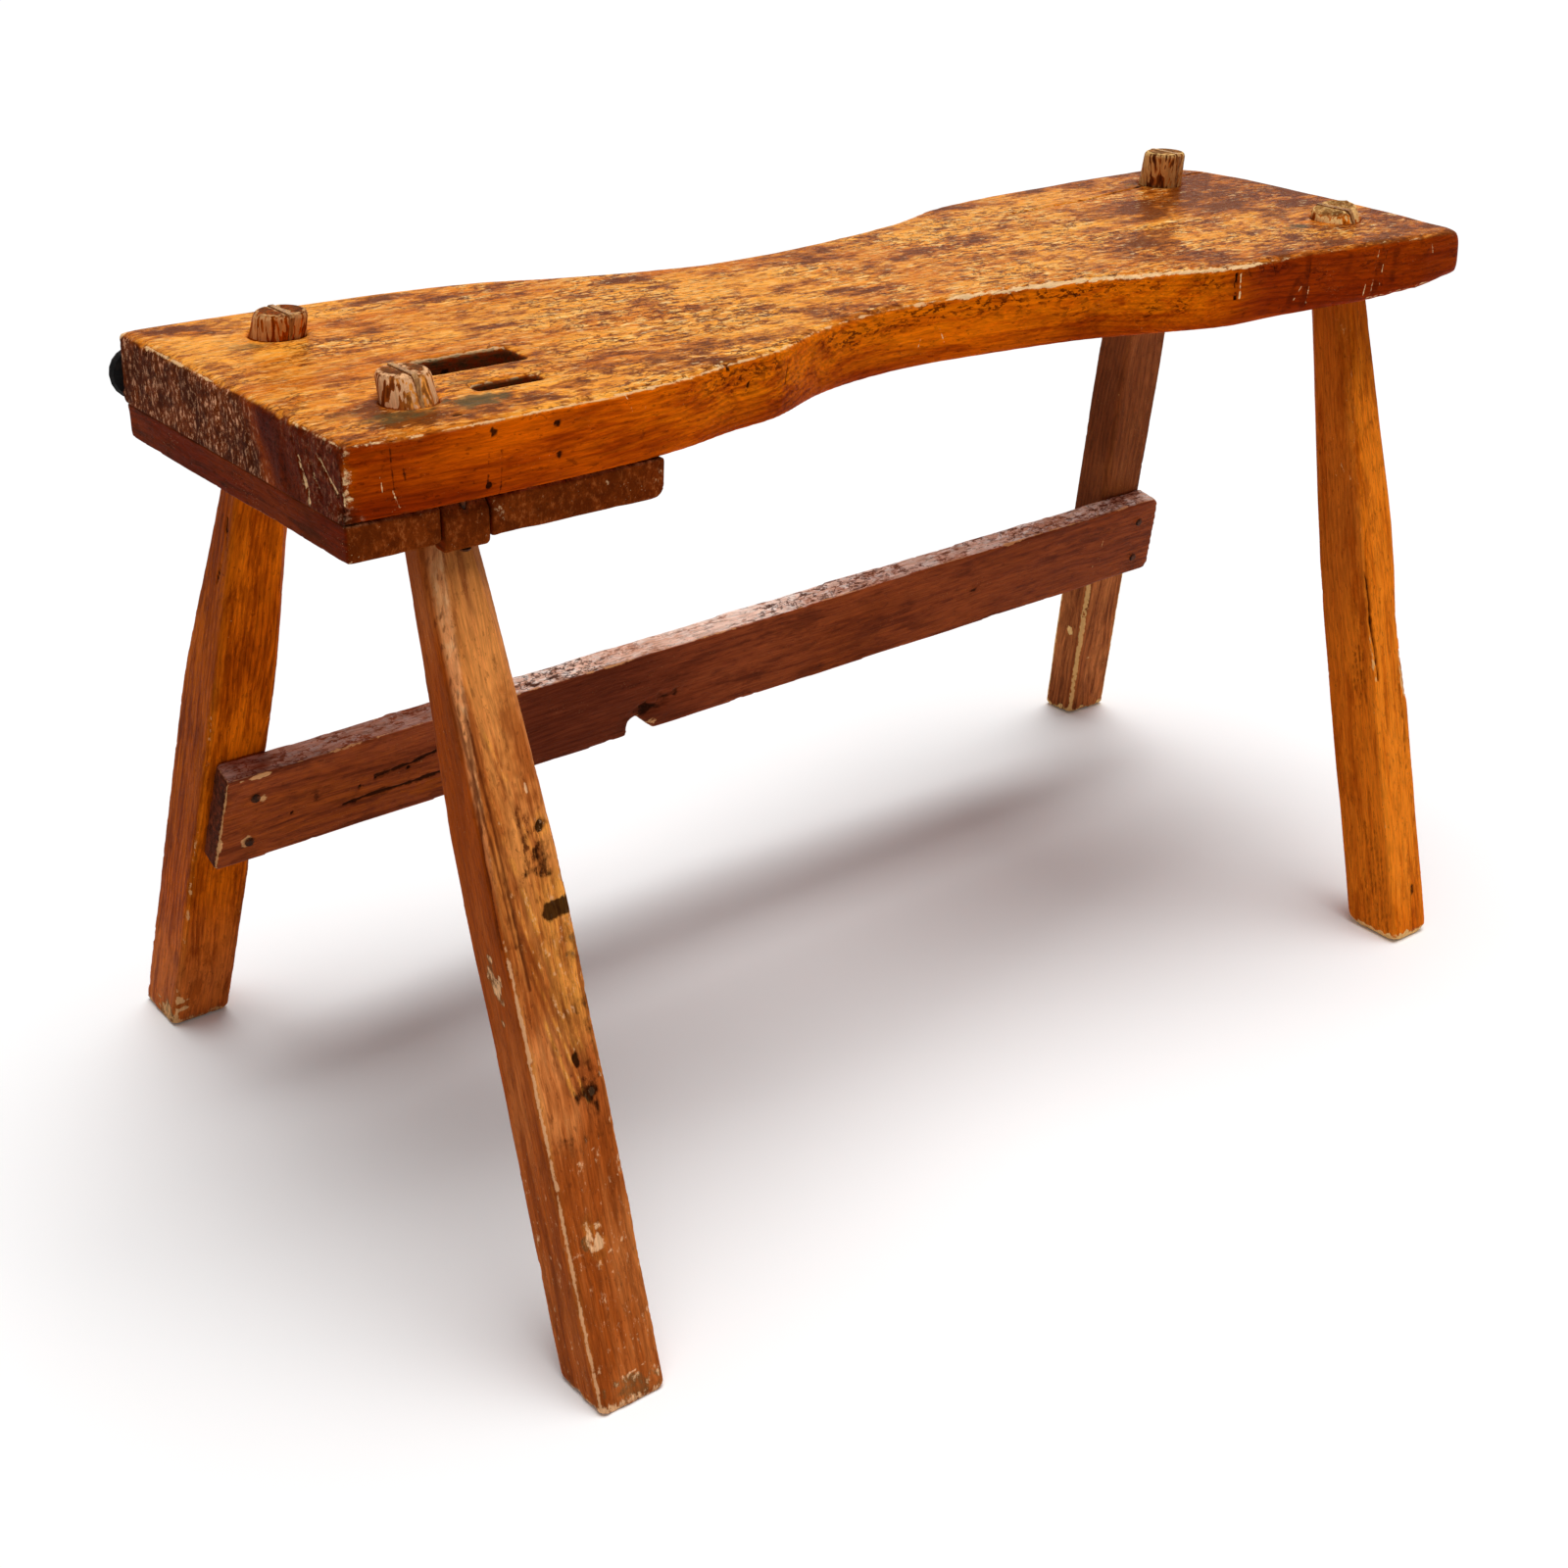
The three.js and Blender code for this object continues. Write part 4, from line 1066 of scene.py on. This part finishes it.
def make_back_right_leg():
    leg = start_leg("leg_back_right", 28)
    z = leg.local[:, 2]
    # Painted shade: the upper part, in the seat's shade, and the left face take the deeper colour
    upper = rise(180, 330, z)
    deep = leg.facing(LEFT, 0.4) * (0.3 + 0.6 * upper) + 0.8 * upper
    leg.add(deep=np.clip(deep, 0, 1) * (z < SEAT_LOW.z))
    leg.add(worn=0.8 * rise(0.3, 0.8, leg.sharpness(6)) * (z < 200))
    front, left = leg.sides()
    left.blob((-2, 122), (6, 8), bare=0.9)
    left.blob((-2, 122), (10, 14), stain=0.5, soft=0.8)
    front.stroke((-20, 84, 16, 80), 1.5, bare=0.6)
    front.stroke((-4, 70, 20, 66), 1.2, bare=0.5)
    leg.finish_wood(6, rings=0.45, ring_spacing=0.004, pith=(-0.06, 0.05), scratches=0.4)


FRONT_RIGHT_SPLIT = ((-25, 366), (-21, 357), (-19, 336), (-19, 316), (-17, 290), (-16, 262))


def make_front_right_leg():
    leg = start_leg("leg_front_right", 32)
    z = leg.local[:, 2]
    left_side = leg.facing(LEFT, 0.4)
    # Painted light and shade, partly the wood's own tone: the front face is lighter, the left face
    # deeper, and the left face's top darker as shade under the seat
    leg.add(glow=leg.facing(FRONT, 0.2, 0.8) * rise(20, 60, z) * (1 - 0.4 * rise(250, 350, z)))
    leg.add(deep=left_side * (0.45 + 0.4 * rise(230, 400, z)))
    leg.add(seam=0.5 * left_side * rise(440, 600, z) * (z < SEAT_LOW.z))
    # A painted highlight along the arris between the left and front faces, with some wear
    arris = leg.facing(FRONT_LEFT, 0.88, 0.98) * rise(30, 80, z)
    leg.add(glow=arris, worn=0.3 * arris)
    leg.add(bare=fall(4, 10, z + 4 * leg.fractal((5, 5, 30), 71)))
    front, left = leg.sides()
    leg.refine([front.near(FRONT_RIGHT_SPLIT, 7), left.near((-18, 300, -20, 230), 9)])
    mark_front_right_leg(*leg.sides())
    leg.finish_wood(7, rings=0.25, ring_spacing=0.0045, pith=(0.1, 0.12), streaks=0.42, scratches=0.35)


def mark_front_right_leg(front, left):
    front.stroke(FRONT_RIGHT_SPLIT, 2.8, depth=2.5, seam=1.0, stain=0.6, solid=True)
    # A pale line on the split's lip, a painted highlight
    beside = [(u - 4, z) for u, z in FRONT_RIGHT_SPLIT[1:]]
    front.stroke(beside, 3.0, glow=1.0, worn=0.55, solid=True)
    left.blob((-18, 330), (7, 40), depth=1.5, glow=0.8)
    for v, top, bottom in ((-14, 292, 250), (-18, 285, 236), (-9, 282, 256), (-5, 270, 246)):
        left.stroke(((v, top), (v - 1, bottom)), 1.6, depth=0.8, seam=0.9)
    for v, top, bottom in ((-4, 115, 40), (-9, 104, 12), (-15, 110, 20), (2, 60, 10), (-20, 96, 8)):
        left.stroke(((v, top), (v - 2, bottom)), 1.8, seam=0.7)
    for i in range(5):
        left.stroke(((8 - 5 * i, 466), (5 - 6 * i, 448)), 2.4, depth=0.8, worn=0.5)
    left.blob((0, 470), (26, 12), deep=0.8, stain=0.3)
    front.stroke(((14, 250), (15, 205), (13, 168)), 2.2, seam=0.8, depth=0.8)
    front.blob((22, 262), (5, 34), depth=2.0, worn=0.8)
    front.blob((6, 48), (3, 7), stain=0.8)
    front.stroke((-6, 96, 10, 97), 1.4, bare=0.7)


# Rail

RAIL_LOOK = palette(
    light=(158, 76, 42), middle=(132, 58, 30), dark=(96, 40, 20), line=(50, 18, 6),
    deep=(104, 44, 24), glow=(178, 84, 20), pale=(232, 170, 112),
    top=palette(
        # The pale top colours paint a sheen of light on the rail's top, over its pits and dirt
        light=(255, 226, 208), middle=(222, 172, 146), polished=(255, 244, 236),
        dirty=(190, 128, 98), dark=(118, 68, 46), ticks=(66, 30, 16), glint=(255, 246, 236),
    ),
)
RAIL_STRIPES = (
    ((180, 253), (214, 255), (250, 263)), ((150, 231), (172, 233), (215, 233), (262, 236)),
)
RAIL_HOLES = ((180, 250), (213, 251), (165, 246), (100, 239))
# Dark knots: place, half sizes of the rim and the core, the rim's raggedness and the core's strength
RAIL_KNOTS = (
    ((124, 250), (14, 12), (6, 5), 0.5, 0.9), ((905, 258), (20, 15), (7, 5), 0.6, 0.7),
)
# Orange bands below the dark stripes, the wood's tone with a painted highlight: centre, half sizes and
# strength
RAIL_GLOWS = ((130, 222, 80, 9, 0.6), (250, 222, 50, 9, 0.9))
RAIL_CHIPS = ((66, 291, 16, 3, 1.0), (34, 226, 3, 9, 0.9))
RAIL_LEFT_END = 60


def make_rail():
    rail = Surface("back_rail", RAIL_CELL)
    rail.wear_edges(0.5, 6, 41, worn=0.62, chips=0.8, lump=40)
    rail.push(0.3 + 0.45 * rail.fractal((150, 40, 40), 43))
    x = rail.points[:, 0]
    up = rail.facing(UP)
    rail.push(up * (0.6 + 0.9 * rail.fractal((20, 10, 10), 45)))
    # Painted sheen: the rail's top takes the pale top look, most from 340 to 560 mm and less to the
    # right
    glossy = rise(240, 340, x) * (1 - 0.45 * rise(560, 800, x))
    rail.add(top=up * (0.25 + 0.75 * glossy))
    rail.add(worn=0.62 * rail.front_arris(0.2))
    facing = rail.facing(FRONT)
    rail.add(glow=0.3 * facing * rise(450, 750, x))
    rail.add(deep=0.7 * facing * rise(300, 340, x) * fall(430, 540, x))
    left_end = rail.facing(LEFT) * (x < RAIL_LEFT_END)
    rail.add(stain=0.42 * left_end, end=left_end)
    corner = rail.facing(FRONT_LEFT, 0.84, 0.96) * (x < RAIL_LEFT_END)
    rail.add(worn=0.8 * corner, glow=corner)
    front = Face(rail, (0, 2), FRONT)
    rail.refine([front.near(path, 7) for path in RAIL_STRIPES])
    mark_rail(Face(rail, (0, 2), FRONT))
    look = make_wood("rail_look", (1, 0, 0.012), 9, rings=0.25, ring_spacing=0.006, pith=(0.3, 0.1),
                     flecks=0.3, streaks=0.45, rough=0.34, specular=0.012, **RAIL_LOOK)
    rail.finish("back_rail_worn", "rail_wood", look)


def mark_rail(front):
    front.strokes(RAIL_STRIPES, 10, stain=0.5, solid=True)
    front.strokes(RAIL_STRIPES, 4, stain=0.85, depth=0.8, solid=True)
    for place in RAIL_HOLES:
        front.blob(place, (2.6, 2.6), stain=1.0, depth=2.0)
    for place, rim, core, ragged, strength in RAIL_KNOTS:
        front.blob(place, rim, stain=0.46, ragged=ragged, soft=0.9)
        front.blob(place, core, stain=strength, ragged=0.5, soft=0.9)
    front.blob((130, 240), (170, 60), glow=0.55, soft=0.9)
    front.blobs("glow", RAIL_GLOWS)
    front.blobs("bare", RAIL_CHIPS)
    front.blob((72, 266), (6, 6), bare=0.5, depth=0.6)
    front.blob((58, 222), (8, 7), bare=0.65, depth=0.8)
    front.blob((478, 233), (24, 10), stain=0.8, depth=2.0, ragged=0.3, soft=0.9)
    front.blob((504, 243), (30, 9), stain=0.62, depth=2.5, ragged=0.5, soft=0.9)
    front.blob((487, 216), (8, 5), glow=1.0, bare=0.6)
    front.stroke((1098, 282, 1099, 262), 1.6, bare=0.6)
    front.stroke((1104, 250, 1105, 222), 1.8, bare=0.75)
    front.stroke((1098, 250, 1093, 238), 1.4, bare=0.6)


# Cleats

CLEAT_LOOK = palette(
    light=(140, 66, 14), middle=(114, 48, 6), dark=(74, 28, 2), line=(42, 14, 0),
    deep=(106, 28, 0), glow=(186, 124, 84), pale=(226, 176, 128),
    end=palette(light=(168, 88, 40), middle=(128, 52, 12), dark=(98, 36, 6)),
)
CLEAT_NODES = ("end_cleat", "split_strip_front", "split_strip_middle", "split_strip_back", "inner_cleat")
CLEAT_SEED = 12
# Turns the saw's slanting marks on a cleat's front upright
CLEAT_SAW = np.array([[0.77, 0, 0.64], [0, 1, 0], [-0.64, 0, 0.77]]).T
STRIP_RISE = 6.6


def fit_cleat(cleat, node):
    """Skews the end cleat to the seat's end, and shapes the strip's top up to the seat."""
    x, y, z = cleat.points.T
    if node == "end_cleat":
        cleat.points[:, 0] += LEFT_END_SKEW * y / SEAT_HIGH.y * fall(2, 30, x)
        cleat.low.x = SEAT_LOW.x
    if node.startswith("split_strip"):
        top = rise(cleat.high.z - 8, cleat.high.z, z)
        cleat.points[:, 2] += top * STRIP_RISE * rise(0, 7, y)
        cleat.high.z += STRIP_RISE
    cleat.update_normals()


def hold_joints(cleat, node):
    """Keeps the cleat's top and its sides against other cleats where they are."""
    x, _, z = cleat.points.T
    cleat.hold(1 - 0.9 * rise(cleat.high.z - 7, cleat.high.z - 2, z))
    if node != "end_cleat":
        cleat.hold(0.3 + 0.7 * rise(3, 8, x - cleat.low.x))
    if node != "inner_cleat":
        cleat.hold(0.3 + 0.7 * rise(3, 8, cleat.high.x - x))


def make_cleats():
    look = make_wood("cleat_look", (0, 1, 0), CLEAT_SEED, rings=0.35, ring_spacing=0.004,
                     pith=(0.02, 0.1), rough=0.42, scratches=0.9, specular=0.005, **CLEAT_LOOK)
    for i, node in enumerate(CLEAT_NODES):
        cleat = Surface(node, CLEAT_CELL)
        fit_cleat(cleat, node)
        hold_joints(cleat, node)
        cleat.wear_edges(0.6, 6, 50 + i, worn=0.72, chips=1.2, lump=16)
        cleat.push(0.2 + 0.4 * cleat.fractal((26, 60, 26), 60 + i))
        front = cleat.facing(FRONT)
        saw = noise(cleat.points @ CLEAT_SAW, (2.6, 40, 40), 67)
        cleat.push(front * 0.5 * rise(0.1, 0.6, saw))
        cleat.add(bare=0.4 * front * rise(0.35, 0.8, saw), end=0.85 * front)
        # Painted light and shade by the way faces look: left faces deeper, partly the wood's tone; the
        # faces that look down darker and those that look up lighter
        cleat.add(deep=cleat.facing(LEFT))
        cleat.add(deep=0.9 * front * rise(215, 245, cleat.points[:, 0]))
        cleat.add(stain=0.3 * cleat.facing(DOWN), glow=0.8 * cleat.facing(UP))
        cleat.finish(node + "_worn", "cleat_wood", look)


# Iron and wedges

WEDGE_LOOK = palette(
    light=(206, 156, 98), middle=(176, 122, 70), dark=(120, 74, 40), line=(90, 50, 24),
    deep=(150, 92, 50), glow=(226, 180, 120), pale=(236, 200, 150),
)


def make_iron(name, colour, rust, metallic):
    graph = Graph(bpy.data.materials.new(name))
    place = graph.add("TexCoord", output=3)
    pits = graph.noise(place, (500.0, 500.0), 5.0)
    patches = graph.noise(place, (150.0, 150.0)).ramp(0.42, 0.6)
    shown = graph.mix(patches, srgb(*colour), srgb(*rust))
    graph.colour = graph.shade(shown, pits.ramp(0.3, 0.7, 0.75, 1.2))
    roughness = pits.ramp(0.3, 0.7, 0.4, 0.7)
    return graph.surface(roughness, pits, 0.5, 0.0006, metallic=metallic, specular=0.1)


def finish_small_nodes():
    """Gives the nails, the knob and the wedges their materials, on their CAD meshes."""
    nail = make_iron("nail_iron_look", (54, 30, 16), (92, 46, 20), 0.15)
    knob = make_iron("black_iron_look", (14, 13, 13), (26, 22, 20), 0.4)
    wedge = make_wood("wedge_look", (0, 0, 1), 30, ring_spacing=0.003, **WEDGE_LOOK)
    for name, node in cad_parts.items():
        for word, look in (("nail", nail), ("knob", knob), ("wedge", wedge)):
            if word in name:
                for slot in node.material_slots:
                    slot.material = look


make_camera()
make_world()
make_floor()
make_sun()
make_seat()
make_front_left_leg()
make_back_left_leg()
make_back_right_leg()
make_front_right_leg()
make_rail()
make_cleats()
finish_small_nodes()

bpy.context.scene.view_settings.view_transform = "Standard"
